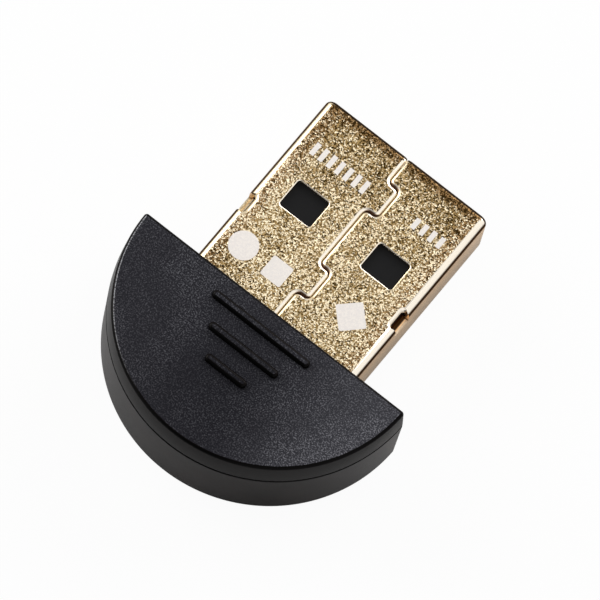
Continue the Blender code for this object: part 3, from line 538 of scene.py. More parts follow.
for index in range(RIB_COUNT):
    combine(upper_shell, "UNION", grip_rib(index))
finish_shading(upper_shell)
upper_shell.data.materials.append(abs_black)
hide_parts("upper_shell")
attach(upper_shell, "root")


# Plug
# A steel sheet folded into a flat tube, its edges locked by two square tabs, then blasted on its
# flats and plated a champagne gold. The bends, the rolled seam edges and the side walls stay smooth.
SHEET = 0.3 * MM
TIP_BEND = 0.36 * MM
TIP_TURN = math.radians(68)
TAIL = 2.6 * MM
SEAM_GAP = 0.025 * MM
SEAM_SIDE = 0.05 * MM
SEAM_TAB_REACH = 0.87 * MM
SEAM_TAB_LENGTH = 2.15 * MM
SEAM_FIRST_TAB = 2.0 * MM
SEAM_TAB_PITCH = 6.6 * MM
SEAM_ROLL = 0.3 * MM
SEAM_ROLL_DEPTH = 0.18 * MM
SEAM_JOG_SHARE = 0.8
SEAM_CORNER = 0.35 * MM
SEAM_CORNER_STEPS = 6
WINDOW_FROM_TIP = 5.25 * MM
WINDOW_LENGTH = 1.95 * MM
WINDOW_WIDTH = 2.3 * MM
WINDOW_SPACING = 6.1 * MM
WINDOW_CORNER = 0.16 * MM
WINDOW_ROLL = 0.1 * MM
WINDOW_ROLL_DEPTH = 0.08 * MM
CRIMP_FROM_TIP = 7.65 * MM
CRIMP_LENGTH = 1.3 * MM
CRIMP_INSET = 0.5 * MM
CRIMP_DROP = 1.15 * MM
CRIMP_TAB_RISE = 0.5 * MM
CRIMP_TAB_LEAN = 0.35 * MM
CRIMP_TAB_GAP = 0.08 * MM
CRIMP_CORNER = 0.22 * MM
CRIMP_ROLL = 0.28 * MM
CRIMP_ROLL_DEPTH = 0.3 * MM
LEG_ABOVE_BOARD = 0.7 * MM
TIP_STEPS = 8
ROLL_STEPS = 6
PAST = 0.5 * MM

tail_y = front_y - TAIL
bend_y = tip_y - TIP_BEND
bottom = plug_top - PLUG_HEIGHT
wall_x = plug_width / 2
crimp_y = tip_y - CRIMP_FROM_TIP


def box(low, high):
    """A box between two opposite corners, given in any order."""
    low, high = [[f(pair) for pair in zip(low, high)] for f in (min, max)]
    plan = [(low[0], low[1]), (high[0], low[1]), (high[0], high[1]), (low[0], high[1])]
    return loft([[(x, y, z) for x, y in plan] for z in (low[2], high[2])])


def folded_tube():
    """The tube before it is cut: bent in a little at the tip, its wall one sheet thick."""
    rings = [(tail_y, 0.0)]
    for i in range(TIP_STEPS + 1):
        turn = TIP_TURN * i / TIP_STEPS
        rings.append((bend_y + TIP_BEND * math.sin(turn), TIP_BEND * (1 - math.cos(turn))))
    inner = TIP_BEND - SHEET
    for i in range(TIP_STEPS + 1):
        turn = TIP_TURN * (1 - i / TIP_STEPS)
        rings.append((bend_y + inner * math.sin(turn), SHEET + inner * (1 - math.cos(turn))))
    rings.append((tail_y, SHEET))
    body = bmesh.new()
    loops = [[body.verts.new((x, y, z)) for x, z in plug_section(inset)] for y, inset in rings]
    for near, far in zip(loops, loops[1:] + loops[:1]):
        for i in range(len(near)):
            j = (i + 1) % len(near)
            body.faces.new((near[i], near[j], far[j], far[i]))
    bmesh.ops.recalc_face_normals(body, faces=body.faces)
    return body


def roll_levels(roll, depth):
    """How far a cutter flares, and at what depth under the face, from the face down to the roll's foot."""
    levels = []
    for i in range(1, ROLL_STEPS + 1):
        turn = math.pi / 2 * i / ROLL_STEPS
        levels.append((roll * (1 - math.sin(turn)), depth * (1 - math.cos(turn))))
    return levels


def tip_drop(y):
    """How far the top face has bent down at a place along the plug."""
    if y < bend_y:
        return 0.0
    turn = min(math.asin(min((y - bend_y) / TIP_BEND, 1.0)), TIP_TURN)
    return TIP_BEND * (1 - math.cos(turn))


def seam_line():
    """Points down the seam from the tip, each with the direction that points to the seam's left."""
    near_x = -SEAM_SIDE
    far_x = near_x + SEAM_TAB_REACH
    line = [(near_x, tip_y + PAST, 1.0, 0.0)]
    for i in range(TIP_STEPS + 1):
        line.append((near_x, bend_y + TIP_BEND * math.sin(TIP_TURN * (1 - i / TIP_STEPS)), 1.0, 0.0))
    for tab in range(2):
        start = tip_y - SEAM_FIRST_TAB - tab * SEAM_TAB_PITCH
        end = start - SEAM_TAB_LENGTH
        # Each corner gives its centre, which way it bulges, and its first and last direction in half turns.
        corners = (
            (near_x + SEAM_CORNER, start + SEAM_CORNER, -1, 0.0, 0.5),
            (far_x - SEAM_CORNER, start - SEAM_CORNER, 1, 0.5, 0.0),
            (far_x - SEAM_CORNER, end + SEAM_CORNER, 1, 0.0, -0.5),
            (near_x + SEAM_CORNER, end - SEAM_CORNER, -1, -0.5, 0.0),
        )
        for centre_x, centre_y, bulge, first, last in corners:
            for i in range(SEAM_CORNER_STEPS + 1):
                turn = math.pi * (first + (last - first) * i / SEAM_CORNER_STEPS)
                left_x, left_y = math.cos(turn), math.sin(turn)
                line.append((centre_x + bulge * SEAM_CORNER * left_x, centre_y + bulge * SEAM_CORNER * left_y,
                             left_x, left_y))
    line.append((near_x, tail_y - PAST, 1.0, 0.0))
    return line


def seam_cutter():
    """The thin slot between the sheet's two edges, flared at the top where they are rolled."""
    line = seam_line()
    levels = [(SEAM_ROLL, -PAST)] + roll_levels(SEAM_ROLL, SEAM_ROLL_DEPTH) + [(0.0, SHEET + PAST)]
    rings = []
    for flare, depth in levels:
        ring = []
        for sign in (1, -1):
            half_gap = sign * (SEAM_GAP / 2 + flare)
            side = []
            for x, y, left_x, left_y in line:
                shift_y = half_gap * SEAM_JOG_SHARE * left_y
                side.append((x + half_gap * left_x, y + shift_y, plug_top - depth - tip_drop(y)))
            ring += side if sign > 0 else side[::-1]
        rings.append(ring)
    return loft(rings)


def round_cutter(middle_x, middle_y, half_x, half_y, corner, levels):
    """A cutter with round corners, through levels that each give how far it flares and its height."""
    rings = []
    for flare, z in levels:
        radius = corner + flare
        reach_x = half_x + flare - radius
        reach_y = half_y + flare - radius
        plan = []
        for turn, (side_x, side_y) in enumerate(((1, 1), (-1, 1), (-1, -1), (1, -1))):
            start = turn * math.pi / 2
            plan += arc(middle_x + side_x * reach_x, middle_y + side_y * reach_y, radius, start,
                        start + math.pi / 2, CORNER_STEPS)
        rings.append([(x, y, z) for x, y in plan])
    return loft(rings)


def window_cutter(middle_x):
    """A latch window through both flats, with rolled rims."""
    rims = roll_levels(WINDOW_ROLL, WINDOW_ROLL_DEPTH)
    levels = [(WINDOW_ROLL, plug_top + PAST)] + [(flare, plug_top - depth) for flare, depth in rims]
    levels += [(flare, bottom + depth) for flare, depth in rims[::-1]] + [(WINDOW_ROLL, bottom - PAST)]
    middle_y = tip_y - WINDOW_FROM_TIP - WINDOW_LENGTH / 2
    return round_cutter(middle_x, middle_y, WINDOW_WIDTH / 2, WINDOW_LENGTH / 2, WINDOW_CORNER, levels)


def crimp_cutter(side):
    """The opening in a long edge that the crimp tab leaves, its inner rim drawn down in a wide roll."""
    inner_x = wall_x - CRIMP_INSET
    outer_x = wall_x + PAST
    levels = [(CRIMP_ROLL, plug_top + PAST)]
    levels += [(flare, plug_top - depth) for flare, depth in roll_levels(CRIMP_ROLL, CRIMP_ROLL_DEPTH)]
    levels.append((0.0, plug_top - CRIMP_DROP))
    return round_cutter(side * (inner_x + outer_x) / 2, crimp_y - CRIMP_LENGTH / 2, (outer_x - inner_x) / 2,
                        CRIMP_LENGTH / 2, CRIMP_CORNER, levels)


plug = add_piece("plug_sheet", folded_tube())
combine(plug, "DIFFERENCE", seam_cutter())
for side in (-1, 1):
    combine(plug, "DIFFERENCE", window_cutter(side * WINDOW_SPACING / 2))
    combine(plug, "DIFFERENCE", crimp_cutter(side))
    notch_z = plug_top - CRIMP_DROP
    root_z = notch_z - SHEET
    tip_z = notch_z + CRIMP_TAB_RISE
    section = [
        (side * wall_x, root_z),
        (side * (wall_x - CRIMP_TAB_LEAN), tip_z),
        (side * (wall_x - CRIMP_TAB_LEAN - SHEET), tip_z),
        (side * (wall_x - SHEET), root_z),
    ]
    near_y = crimp_y - CRIMP_LENGTH + CRIMP_TAB_GAP
    far_y = crimp_y - CRIMP_TAB_GAP
    combine(plug, "UNION", loft([[(x, y, z) for x, z in section] for y in (near_y, far_y)]))
    leg_low = (side * (wall_x - SHEET), plug_box[0].y, plug_box[0].z)
    leg_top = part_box("circuit_board")[1].z + LEG_ABOVE_BOARD
    combine(plug, "UNION", box(leg_low, (side * wall_x, tail_y + SHEET, leg_top)))
finish_shading(plug)

# Champagne plating over a blasted sheet. Blasting leaves dimples just under a tenth of a millimetre
# across, each a tone from umber to cream: painted shade in the pits and painted glints. The bends and
# rolled rims stay smooth and are painted pale as a painted reflection of the tent. The plating is
# darker along the long edges; at the foot of each bend, at the tip and in the openings it is darker
# as painted dark reflection and painted shade.
PLATING_PIT_SHADE = "32240E"
PLATING = "A68A5A"
PLATING_GLINT = "FFEFCE"
PLATING_BROWN = "8E6844"
PLATING_BEND_REFLECTION = "FCF2E2"
PLATING_LEFT_REFLECTION = "DDCCAC"
PLATING_FOOT_DARK_REFLECTION = "2C160A"
PLATING_SIDE_REFLECTION_LOW = "D8CCBA"
PLATING_SIDE_REFLECTION_HIGH = "FFE6C6"
PLATING_INSIDE_SHADE = "5C4026"
PLATING_TAB_SHADE = "341C0E"
PLATING_TIP_DARK_REFLECTION = "1E1610"
PLATING_JOG_SHADE = "7A5232"
PLATING_EDGE_ON = "DDCEBF"
DIMPLE = 0.072
DIMPLE_DEPTH = 0.02 * MM
DIMPLE_RELIEF = 0.8
WAVER_SIZE = DIMPLE / 0.7
WAVER_REACH = 1.2 * DIMPLE
TONE_PATCH = 1.111
BEND_ROUGHNESS = 0.24
BLASTED_ROUGHNESS = 0.4
LEFT_FLAT_SHIFT = 0.025
LEFT_FOOT_SHIFT = -0.12
# Where one finish gives way to the next, as in the housing. Places are in millimetres from the plug's
# tip, from its middle line or from its axis.
LEFTWARD_FACING = span(-0.3, -0.1, 1.0, 0.0)
BLASTED_TILT = span(0.96, 0.985)
BLASTED_TIP_TILT = span(0.86, 0.93)
TIP_FROM_BEND = span(TIP_BEND / MM - 0.02, TIP_BEND / MM + 0.02, 1.0, 0.0)
PATCH_LIFT = span(0.3, 0.7, -0.05, 0.05)
TIP_DARKENING = span(0.6, 6.5, -0.16, 0.0)
RIM_DARKENING = span(0.3, 0.9, -0.25, 0.0)
ROOT_SHADE = span(0.5, 3.5, -0.14, 0.0)
PIT_LEVELS = span(0.0, 0.5)
GLINT_LEVELS = span(0.5, 0.84)
BROWN_SIDE = span(4.2, 5.4, 0.0, 0.6)
BROWN_RIM = span(0.4, 1.1, 0.6, 0.0)
ON_BEND = span(5.6, 5.8)
FOOT_TILT = span(0.5, 0.68, 1.0, 0.0)
OFF_SIDE_TILT = span(0.02, 0.1)
UPPER_HALF = span(0.0, 0.5)
SIDE_HEIGHT = span(-1.4, 1.5)
BELOW_FACE = span(PLUG_HEIGHT / 2 / MM - 0.2, PLUG_HEIGHT / 2 / MM - 0.1, 1.0, 0.0)
TO_RIGHT = span(-1.0, 1.0)
tab_root = (PLUG_HEIGHT / 2 - CRIMP_DROP) / MM
tab_top = tab_root + CRIMP_TAB_RISE / MM
tab_inner = (wall_x - CRIMP_TAB_LEAN) / MM
tab_reach = CRIMP_LENGTH / 2 / MM
TAB_ROW = span(tab_reach - 0.06, tab_reach, 1.0, 0.0)
TAB_FROM_ROOT = span(tab_root - 0.1, tab_root)
TAB_TO_TOP = span(tab_top + 0.01, tab_top + 0.03, 1.0, 0.0)
RIGHT_TAB_SHADE = span(tab_root + 0.04, tab_root + 0.2)
LEFT_TAB_SHADE = span(tab_inner - 0.1, tab_inner, 1.0, 0.0)
TIP_FACING = span(0.3, 0.45)
TIP_EDGE = span(0.3, 0.5, 1.0, 0.0)
JOG_FACING = span(0.25, 0.6, 0.0, 0.85)
NEAR_SEAM = span(1.2, 1.4, 1.0, 0.0)
BEHIND_RIM = span(0.8, 1.0)

plating, tree, out = empty_material("champagne_plated_steel")
mm = mm_coordinates(tree)
place = add(tree, "SeparateXYZ", {0: mm})
off_middle = add(tree, "Math", {0: place.outputs["X"]}, operation="ABSOLUTE")
behind_tip = add(tree, "Math", {0: tip_y / MM, 1: place.outputs["Y"]}, operation="SUBTRACT")
above_axis = add(tree, "Math", {0: place.outputs["Z"], 1: plug_axis_z / MM}, operation="SUBTRACT")
facing = add(tree, "SeparateXYZ", {0: add(tree, "NewGeometry").outputs["Normal"]})
tilt = add(tree, "Math", {0: facing.outputs["Z"]}, operation="ABSOLUTE")
leftward = add(tree, "MapRange", {"Value": facing.outputs["X"], **LEFTWARD_FACING}, **EASED)

# Where the sheet is blasted: on its flats, and round the tip as far as it still looks up.
raised = add(tree, "Math", {0: leftward, 1: LEFT_FLAT_SHIFT, 2: tilt}, operation="MULTIPLY_ADD")
blasted_face = add(tree, "MapRange", {"Value": raised, **BLASTED_TILT}, **EASED)
blasted_tip = add(tree, "Math", {
    0: add(tree, "MapRange", {"Value": tilt, **BLASTED_TIP_TILT}, **EASED),
    1: add(tree, "MapRange", {"Value": behind_tip, **TIP_FROM_BEND}, **EASED),
}, operation="MULTIPLY")
flat = add(tree, "Math", {0: blasted_face, 1: blasted_tip}, operation="MAXIMUM")

# The dimples: each has a level of its own, lower towards the tip and its rim, and lower as painted shade at
# the left end of the root, by the housing.
waver = add(tree, "TexNoise", {"Vector": mm, "Scale": 1 / WAVER_SIZE, "Detail": 1.0})
bent = add(tree, "VectorMath", {
    0: waver.outputs["Color"],
    1: (WAVER_REACH, WAVER_REACH, 0.0),
    2: mm,
}, operation="MULTIPLY_ADD")
dimples = add(tree, "TexVoronoi", {"Vector": bent, "Scale": 1 / DIMPLE})
own_level = add(tree, "SeparateColor", {0: dimples.outputs["Color"]})
patches = add(tree, "TexNoise", {"Vector": mm, "Scale": 1 / TONE_PATCH, "Detail": 3.0, "Roughness": 0.6})
lift = add(tree, "MapRange", {"Value": patches, **PATCH_LIFT}, **EASED)
to_tip = add(tree, "MapRange", {"Value": behind_tip, **TIP_DARKENING}, **EASED)
to_rim = add(tree, "MapRange", {"Value": behind_tip, **RIM_DARKENING}, **EASED)
from_corner = add(tree, "VectorMath", {
    0: mm,
    1: (-wall_x / MM, front_y / MM, plug_top / MM),
}, operation="DISTANCE")
to_corner = add(tree, "MapRange", {"Value": from_corner, **ROOT_SHADE}, **EASED)
level = own_level
for shift in (lift, to_tip, to_rim, to_corner):
    level = add(tree, "Math", {0: level, 1: shift}, operation="ADD")
near_edge = add(tree, "Math", {
    0: add(tree, "MapRange", {"Value": off_middle, **BROWN_SIDE}, **EASED),
    1: add(tree, "MapRange", {"Value": behind_tip, **BROWN_RIM}, **EASED),
}, operation="MAXIMUM")
middle = add(tree, "Mix", {0: near_edge, 6: linear(PLATING), 7: linear(PLATING_BROWN)}, data_type="RGBA")
# Low levels darken to painted shade in the pits, high levels lighten to painted glints.
pits = add(tree, "MapRange", {"Value": level, **PIT_LEVELS}, **EASED)
deep = add(tree, "Mix", {0: pits, 6: linear(PLATING_PIT_SHADE), 7: middle}, data_type="RGBA")
glints = add(tree, "MapRange", {"Value": level, **GLINT_LEVELS}, **EASED)
blasted = add(tree, "Mix", {0: glints, 6: deep, 7: linear(PLATING_GLINT)}, data_type="RGBA")

# The smooth bends and side walls, in painted reflection: pale bends, paler facing right than left, side walls
# paler towards the top, and a dark line at the upper foot of each bend.
bend = add(tree, "Mix", {
    0: leftward,
    6: linear(PLATING_BEND_REFLECTION),
    7: linear(PLATING_LEFT_REFLECTION),
}, data_type="RGBA")
side = add(tree, "Mix", {
    0: add(tree, "MapRange", {"Value": above_axis, **SIDE_HEIGHT}, **EASED),
    6: linear(PLATING_SIDE_REFLECTION_LOW),
    7: linear(PLATING_SIDE_REFLECTION_HIGH),
}, data_type="RGBA")
# The dark line at the upper foot of each bend is a painted dark reflection.
upper_foot = add(tree, "Math", {
    0: add(tree, "MapRange", {"Value": tilt, **OFF_SIDE_TILT}, **EASED),
    1: add(tree, "MapRange", {"Value": above_axis, **UPPER_HALF}, **EASED),
}, operation="MULTIPLY")
low = add(tree, "Mix", {0: upper_foot, 6: side, 7: linear(PLATING_FOOT_DARK_REFLECTION)}, data_type="RGBA")
lowered = add(tree, "Math", {0: leftward, 1: LEFT_FOOT_SHIFT, 2: tilt}, operation="MULTIPLY_ADD")
foot = add(tree, "Math", {
    0: add(tree, "MapRange", {"Value": off_middle, **ON_BEND}, **EASED),
    1: add(tree, "MapRange", {"Value": lowered, **FOOT_TILT}, **EASED),
}, operation="MULTIPLY")
smooth = add(tree, "Mix", {0: foot, 6: bend, 7: low}, data_type="RGBA")
outer = add(tree, "Mix", {0: flat, 6: smooth, 7: blasted}, data_type="RGBA")

# The inside of the tube, which shows through the openings, painted darker as painted shade.
off_axis = add(tree, "Math", {0: above_axis}, operation="ABSOLUTE")
below_face = add(tree, "MapRange", {"Value": off_axis, **BELOW_FACE}, **EASED)
inside = add(tree, "Math", {0: below_face, 1: flat}, operation="MULTIPLY")
sheet = add(tree, "Mix", {0: inside, 6: outer, 7: linear(PLATING_INSIDE_SHADE)}, data_type="RGBA")

# The crimp tabs, in painted shade: the right one is dark above its root, the left one on its inner edge.
# Elsewhere they take the painted reflection of the left bends and of the upper side walls.
on_right = add(tree, "MapRange", {"Value": place.outputs["X"], **TO_RIGHT}, **EASED)
dark_tab = add(tree, "Mix", {
    0: on_right,
    2: add(tree, "MapRange", {"Value": off_middle, **LEFT_TAB_SHADE}, **EASED),
    3: add(tree, "MapRange", {"Value": above_axis, **RIGHT_TAB_SHADE}, **EASED),
}, data_type="FLOAT")
bare_tab = add(tree, "Mix", {
    0: on_right,
    6: linear(PLATING_LEFT_REFLECTION),
    7: linear(PLATING_SIDE_REFLECTION_HIGH),
}, data_type="RGBA")
tab = add(tree, "Mix", {0: dark_tab, 6: bare_tab, 7: linear(PLATING_TAB_SHADE)}, data_type="RGBA")
from_crimp = add(tree, "Math", {
    0: place.outputs["Y"],
    1: (crimp_y - CRIMP_LENGTH / 2) / MM,
}, operation="SUBTRACT")
off_crimp = add(tree, "Math", {0: from_crimp}, operation="ABSOLUTE")
on_tab = add(tree, "MapRange", {"Value": off_crimp, **TAB_ROW}, **EASED)
for height_range in (TAB_FROM_ROOT, TAB_TO_TOP):
    on_tab = add(tree, "Math", {
        0: on_tab,
        1: add(tree, "MapRange", {"Value": above_axis, **height_range}, **EASED),
    }, operation="MULTIPLY")
tabbed = add(tree, "Mix", {0: on_tab, 6: sheet, 7: tab}, data_type="RGBA")

# Painted dark reflection on the edge of the tip, and painted shade on the brown ends of the seam's tabs.
at_tip = add(tree, "Math", {
    0: add(tree, "MapRange", {"Value": facing.outputs["Y"], **TIP_FACING}, **EASED),
    1: add(tree, "MapRange", {"Value": behind_tip, **TIP_EDGE}, **EASED),
}, operation="MULTIPLY")
tipped = add(tree, "Mix", {0: at_tip, 6: tabbed, 7: linear(PLATING_TIP_DARK_REFLECTION)}, data_type="RGBA")
# The seam's tab ends are painted brown as painted shade.
endways = add(tree, "Math", {0: facing.outputs["Y"]}, operation="ABSOLUTE")
at_seam = add(tree, "Math", {
    0: add(tree, "MapRange", {"Value": endways, **JOG_FACING}, **EASED),
    1: add(tree, "MapRange", {"Value": off_middle, **NEAR_SEAM}, **EASED),
}, operation="MULTIPLY")
at_jog = add(tree, "Math", {
    0: at_seam,
    1: add(tree, "MapRange", {"Value": behind_tip, **BEHIND_RIM}, **EASED),
}, operation="MULTIPLY")
metal = add(tree, "Mix", {0: at_jog, 6: tipped, 7: linear(PLATING_JOG_SHADE)}, data_type="RGBA")

# Pad-printed marks in a thin pale ink: two rows of bars, a disc, a square and a diamond, each given
# by its middle across the plug and from the tip, its half sizes, and a row's pitch or a shape's corner
# radius and turn. A bar's edge lies between two shares of the pitch.
INK = "FFF9F4"
INK_SHARE = 0.92
PRINT_EDGE = 0.04
PRINT_ROWS = (
    (-2.79, 3.15, 2.17, 0.42, 0.62),
    (3.72, 3.0, 1.24, 0.36, 0.62),
)
PRINT_SHAPES = (
    (-4.2, 10.6, 0.0, 0.0, 0.95, 0.0),
    (-1.7, 10.6, 0.6, 0.6, 0.15, 0.0),
    (3.4, 10.0, 0.7, 0.7, 0.15, 45.0),
)
BAR_FROM = 0.22
BAR_FULL = 0.28
INKED_FACING = span(0.97, 0.99)
INKED_HEIGHT = span(plug_top / MM - 0.15, plug_top / MM - 0.1)


def printed_box(tree, across, from_tip, half_x, half_y, corner, turn):
    """1 inside a box with round corners on the plug's face, 0 outside it."""
    middle = (across, tip_y / MM - from_tip, 0.0)
    off = add(tree, "VectorMath", {0: mm, 1: middle}, operation="SUBTRACT")
    level_off = add(tree, "VectorMath", {0: off, 1: (1.0, 1.0, 0.0)}, operation="MULTIPLY")
    turned = add(tree, "VectorRotate", {
        "Vector": level_off,
        "Angle": math.radians(turn),
    }, rotation_type="Z_AXIS")
    folded = add(tree, "VectorMath", {0: turned}, operation="ABSOLUTE")
    past = add(tree, "VectorMath", {0: folded, 1: (half_x, half_y, 0.0)}, operation="SUBTRACT")
    outside = add(tree, "VectorMath", {0: past, 1: (0.0, 0.0, 0.0)}, operation="MAXIMUM")
    distance = add(tree, "VectorMath", {0: outside}, operation="LENGTH")
    edge = span(corner - PRINT_EDGE, corner, 1.0, 0.0)
    return add(tree, "MapRange", {"Value": distance, **edge}, **EASED)


marks = []
for across, from_tip, half_x, half_y, pitch in PRINT_ROWS:
    row = printed_box(tree, across, from_tip, half_x, half_y, PRINT_EDGE, 0.0)
    along = add(tree, "Math", {0: place.outputs["X"], 1: pitch / 2}, operation="PINGPONG")
    bar = span(pitch * BAR_FROM, pitch * BAR_FULL)
    bars = add(tree, "MapRange", {"Value": along, **bar}, **EASED)
    marks.append(add(tree, "Math", {0: row, 1: bars}, operation="MULTIPLY"))
for shape in PRINT_SHAPES:
    marks.append(printed_box(tree, *shape))
printed = marks[0]
for mark in marks[1:]:
    printed = add(tree, "Math", {0: printed, 1: mark}, operation="MAXIMUM")
on_top = add(tree, "Math", {
    0: add(tree, "MapRange", {"Value": facing.outputs["Z"], **INKED_FACING}, **EASED),
    1: add(tree, "MapRange", {"Value": place.outputs["Z"], **INKED_HEIGHT}, **EASED),
}, operation="MULTIPLY")
printed_on_top = add(tree, "Math", {0: printed, 1: on_top}, operation="MULTIPLY")
ink = add(tree, "Math", {0: printed_on_top, 1: INK_SHARE}, operation="MULTIPLY")
colour = add(tree, "Mix", {0: ink, 6: metal, 7: linear(INK)}, data_type="RGBA")
bare = add(tree, "Math", {0: 1.0, 1: ink}, operation="SUBTRACT")

dimpled = add(tree, "Math", {0: flat, 1: bare}, operation="MULTIPLY")
relief = add(tree, "Math", {0: dimpled, 1: DIMPLE_RELIEF}, operation="MULTIPLY")
bump = add(tree, "Bump", {
    "Strength": relief,
    "Distance": DIMPLE_DEPTH,
    "Height": dimples.outputs["Distance"],
})
rough = add(tree, "Mix", {0: flat, 2: BEND_ROUGHNESS, 3: BLASTED_ROUGHNESS}, data_type="FLOAT")
shader = add(tree, "BsdfPrincipled", {
    "Base Color": colour,
    "Metallic": bare,
    "Roughness": rough,
    "Specular Tint": linear(PLATING_EDGE_ON),
    "Normal": bump,
})
tree.links.new(shader.outputs[0], out.inputs["Surface"])

plug.data.materials.append(plating)
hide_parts("plug_shell")
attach(plug, "root")


# Insulator
# The block that carries the contacts: black PBT, injection moulded. Its tongue lies against the seam
# side of the plug, and shows through the latch windows. The melt's flow leaves soft, duller streaks.
PBT_BLACK = "050506"
PBT_DULL = "0A0A0C"
PBT_FLOW = 0.5
PBT_ROUGHNESS = span(0.3, 0.7, 0.5, 0.62)


def wear(name, material):
    """Give a CAD node a material in place of the one that it came with."""
    for slot in nodes[name].material_slots:
        slot.material = material


pbt_black, tree, out = empty_material("black_pbt")
flow = add(tree, "TexNoise", {"Vector": mm_coordinates(tree), "Scale": 1 / PBT_FLOW, "Detail": 4.0})
tint = add(tree, "Mix", {0: flow, 6: linear(PBT_BLACK), 7: linear(PBT_DULL)}, data_type="RGBA")
rough = add(tree, "MapRange", {"Value": flow, **PBT_ROUGHNESS}, **EASED)
bump = add(tree, "Bump", {"Strength": 0.15, "Distance": 0.01 * MM, "Height": flow})
shader = add(tree, "BsdfPrincipled", {
    "Base Color": tint,
    "Roughness": rough,
    "IOR": 1.55,
    "Specular IOR Level": 0.15,
    "Normal": bump,
})
tree.links.new(shader.outputs[0], out.inputs["Surface"])
wear("insulator", pbt_black)


# Contacts
# Four spring contacts, stamped from phosphor bronze and plated with gold, a little paler where it has
# been rubbed. Rolling leaves lines along the strip, which are about 0.01 mm wide and too fine to show,
# so they are drawn three times as wide.
GOLD = "E8C070"
GOLD_RUBBED = "F0D49A"
GOLD_ROUGHNESS = span(0.3, 0.7, 0.18, 0.3)
ROLLING_LINE = 0.03
ROLLING_SQUEEZE = (1.0, 0.05, 1.0)

gold, tree, out = empty_material("gold_plated_bronze")
mm = mm_coordinates(tree)
along = add(tree, "VectorMath", {0: mm, 1: ROLLING_SQUEEZE}, operation="MULTIPLY")
lines = add(tree, "TexNoise", {"Vector": along, "Scale": 1 / ROLLING_LINE, "Detail": 2.0})
tint = add(tree, "Mix", {0: lines, 6: linear(GOLD), 7: linear(GOLD_RUBBED)}, data_type="RGBA")
rough = add(tree, "MapRange", {"Value": lines, **GOLD_ROUGHNESS}, **EASED)
bump = add(tree, "Bump", {"Strength": 0.2, "Distance": 0.005 * MM, "Height": lines})
shader = add(tree, "BsdfPrincipled", {
    "Base Color": tint,
    "Metallic": 1.0,
    "Roughness": rough,
    "Normal": bump,
})
tree.links.new(shader.outputs[0], out.inputs["Surface"])
for name in ("contact_power", "contact_data_minus", "contact_data_plus", "contact_ground"):
    wear(name, gold)


# Circuit board
# FR-4: woven glass in epoxy, with a green solder mask printed on both faces. The cut edges show the
# tan laminate, and the weave shows faintly through the mask.
MASK_GREEN = "17502F"
MASK_OVER_COPPER = "2B6E40"
LAMINATE = "B7A36A"
GLASS_PITCH = 0.4
TRACE_PITCH = 1.1
TRACE_GAP = 0.12
MASKED_TILT = span(0.5, 0.8)
WAVE_AT_SCALE_ONE = math.pi / 10

board, tree, out = empty_material("fr4_with_solder_mask")
mm = mm_coordinates(tree)
weave_scale = WAVE_AT_SCALE_ONE / GLASS_PITCH
weave_x = add(tree, "TexWave", {"Vector": mm, "Scale": weave_scale}, bands_direction="X")
weave_y = add(tree, "TexWave", {"Vector": mm, "Scale": weave_scale}, bands_direction="Y")
weave = add(tree, "Math", {0: weave_x.outputs["Fac"], 1: weave_y.outputs["Fac"]}, operation="MAXIMUM")
traces = add(tree, "TexBrick", {
    "Vector": mm,
    "Color1": linear(MASK_OVER_COPPER),
    "Color2": linear(MASK_OVER_COPPER),
    "Mortar": linear(MASK_GREEN),
    "Scale": 1.0,
    "Mortar Size": TRACE_GAP,
    "Brick Width": 2 * TRACE_PITCH,
    "Row Height": TRACE_PITCH,
})
facing = add(tree, "SeparateXYZ", {0: add(tree, "NewGeometry").outputs["Normal"]})
tilt = add(tree, "Math", {0: facing.outputs["Z"]}, operation="ABSOLUTE")
masked = add(tree, "MapRange", {"Value": tilt, **MASKED_TILT}, **EASED)
tint = add(tree, "Mix", {0: masked, 6: linear(LAMINATE), 7: traces.outputs["Color"]}, data_type="RGBA")
bump = add(tree, "Bump", {"Strength": 0.3, "Distance": 0.02 * MM, "Height": weave})
shader = add(tree, "BsdfPrincipled", {"Base Color": tint, "Roughness": 0.32, "IOR": 1.5, "Normal": bump})
tree.links.new(shader.outputs[0], out.inputs["Surface"])
wear("circuit_board", board)


# Chips
# The radio, the memory, the regulator and the protection diode, each moulded in black epoxy filled
# with ground quartz, which leaves a dull, faintly sparkling face.
EPOXY = "1A1A1B"
QUARTZ = "3C3C3D"
QUARTZ_GRAIN = 0.04
QUARTZ_SPECKS = span(0.05, 0.3, 1.0, 0.0)

epoxy, tree, out = empty_material("moulded_epoxy")
grains = add(tree, "TexVoronoi", {"Vector": mm_coordinates(tree), "Scale": 1 / QUARTZ_GRAIN})
specks = add(tree, "MapRange", {"Value": grains, **QUARTZ_SPECKS}, **EASED)
tint = add(tree, "Mix", {0: specks, 6: linear(EPOXY), 7: linear(QUARTZ)}, data_type="RGBA")
bump = add(tree, "Bump", {"Strength": 0.3, "Distance": 0.005 * MM, "Height": grains})
shader = add(tree, "BsdfPrincipled", {"Base Color": tint, "Roughness": 0.62, "IOR": 1.55, "Normal": bump})
tree.links.new(shader.outputs[0], out.inputs["Surface"])
for name in ("radio_chip", "memory_chip", "voltage_regulator", "protection_diode"):
    wear(name, epoxy)


# Crystal
# The clock crystal sits in a ceramic tray under a nickel-plated lid, seam-welded round its edge. The
# lid takes the upper share of its height, and its plating has a fine grain.
LID_NICKEL = "BDB9AE"
TRAY_CERAMIC = "CFC7B4"
LID_SHARE = 0.45
LID_GRAIN = 0.05
LID_HEIGHT = span(1 - LID_SHARE, 1 - LID_SHARE + 0.03)
LID_ROUGHNESS = span(0.3, 0.7, 0.28, 0.42)

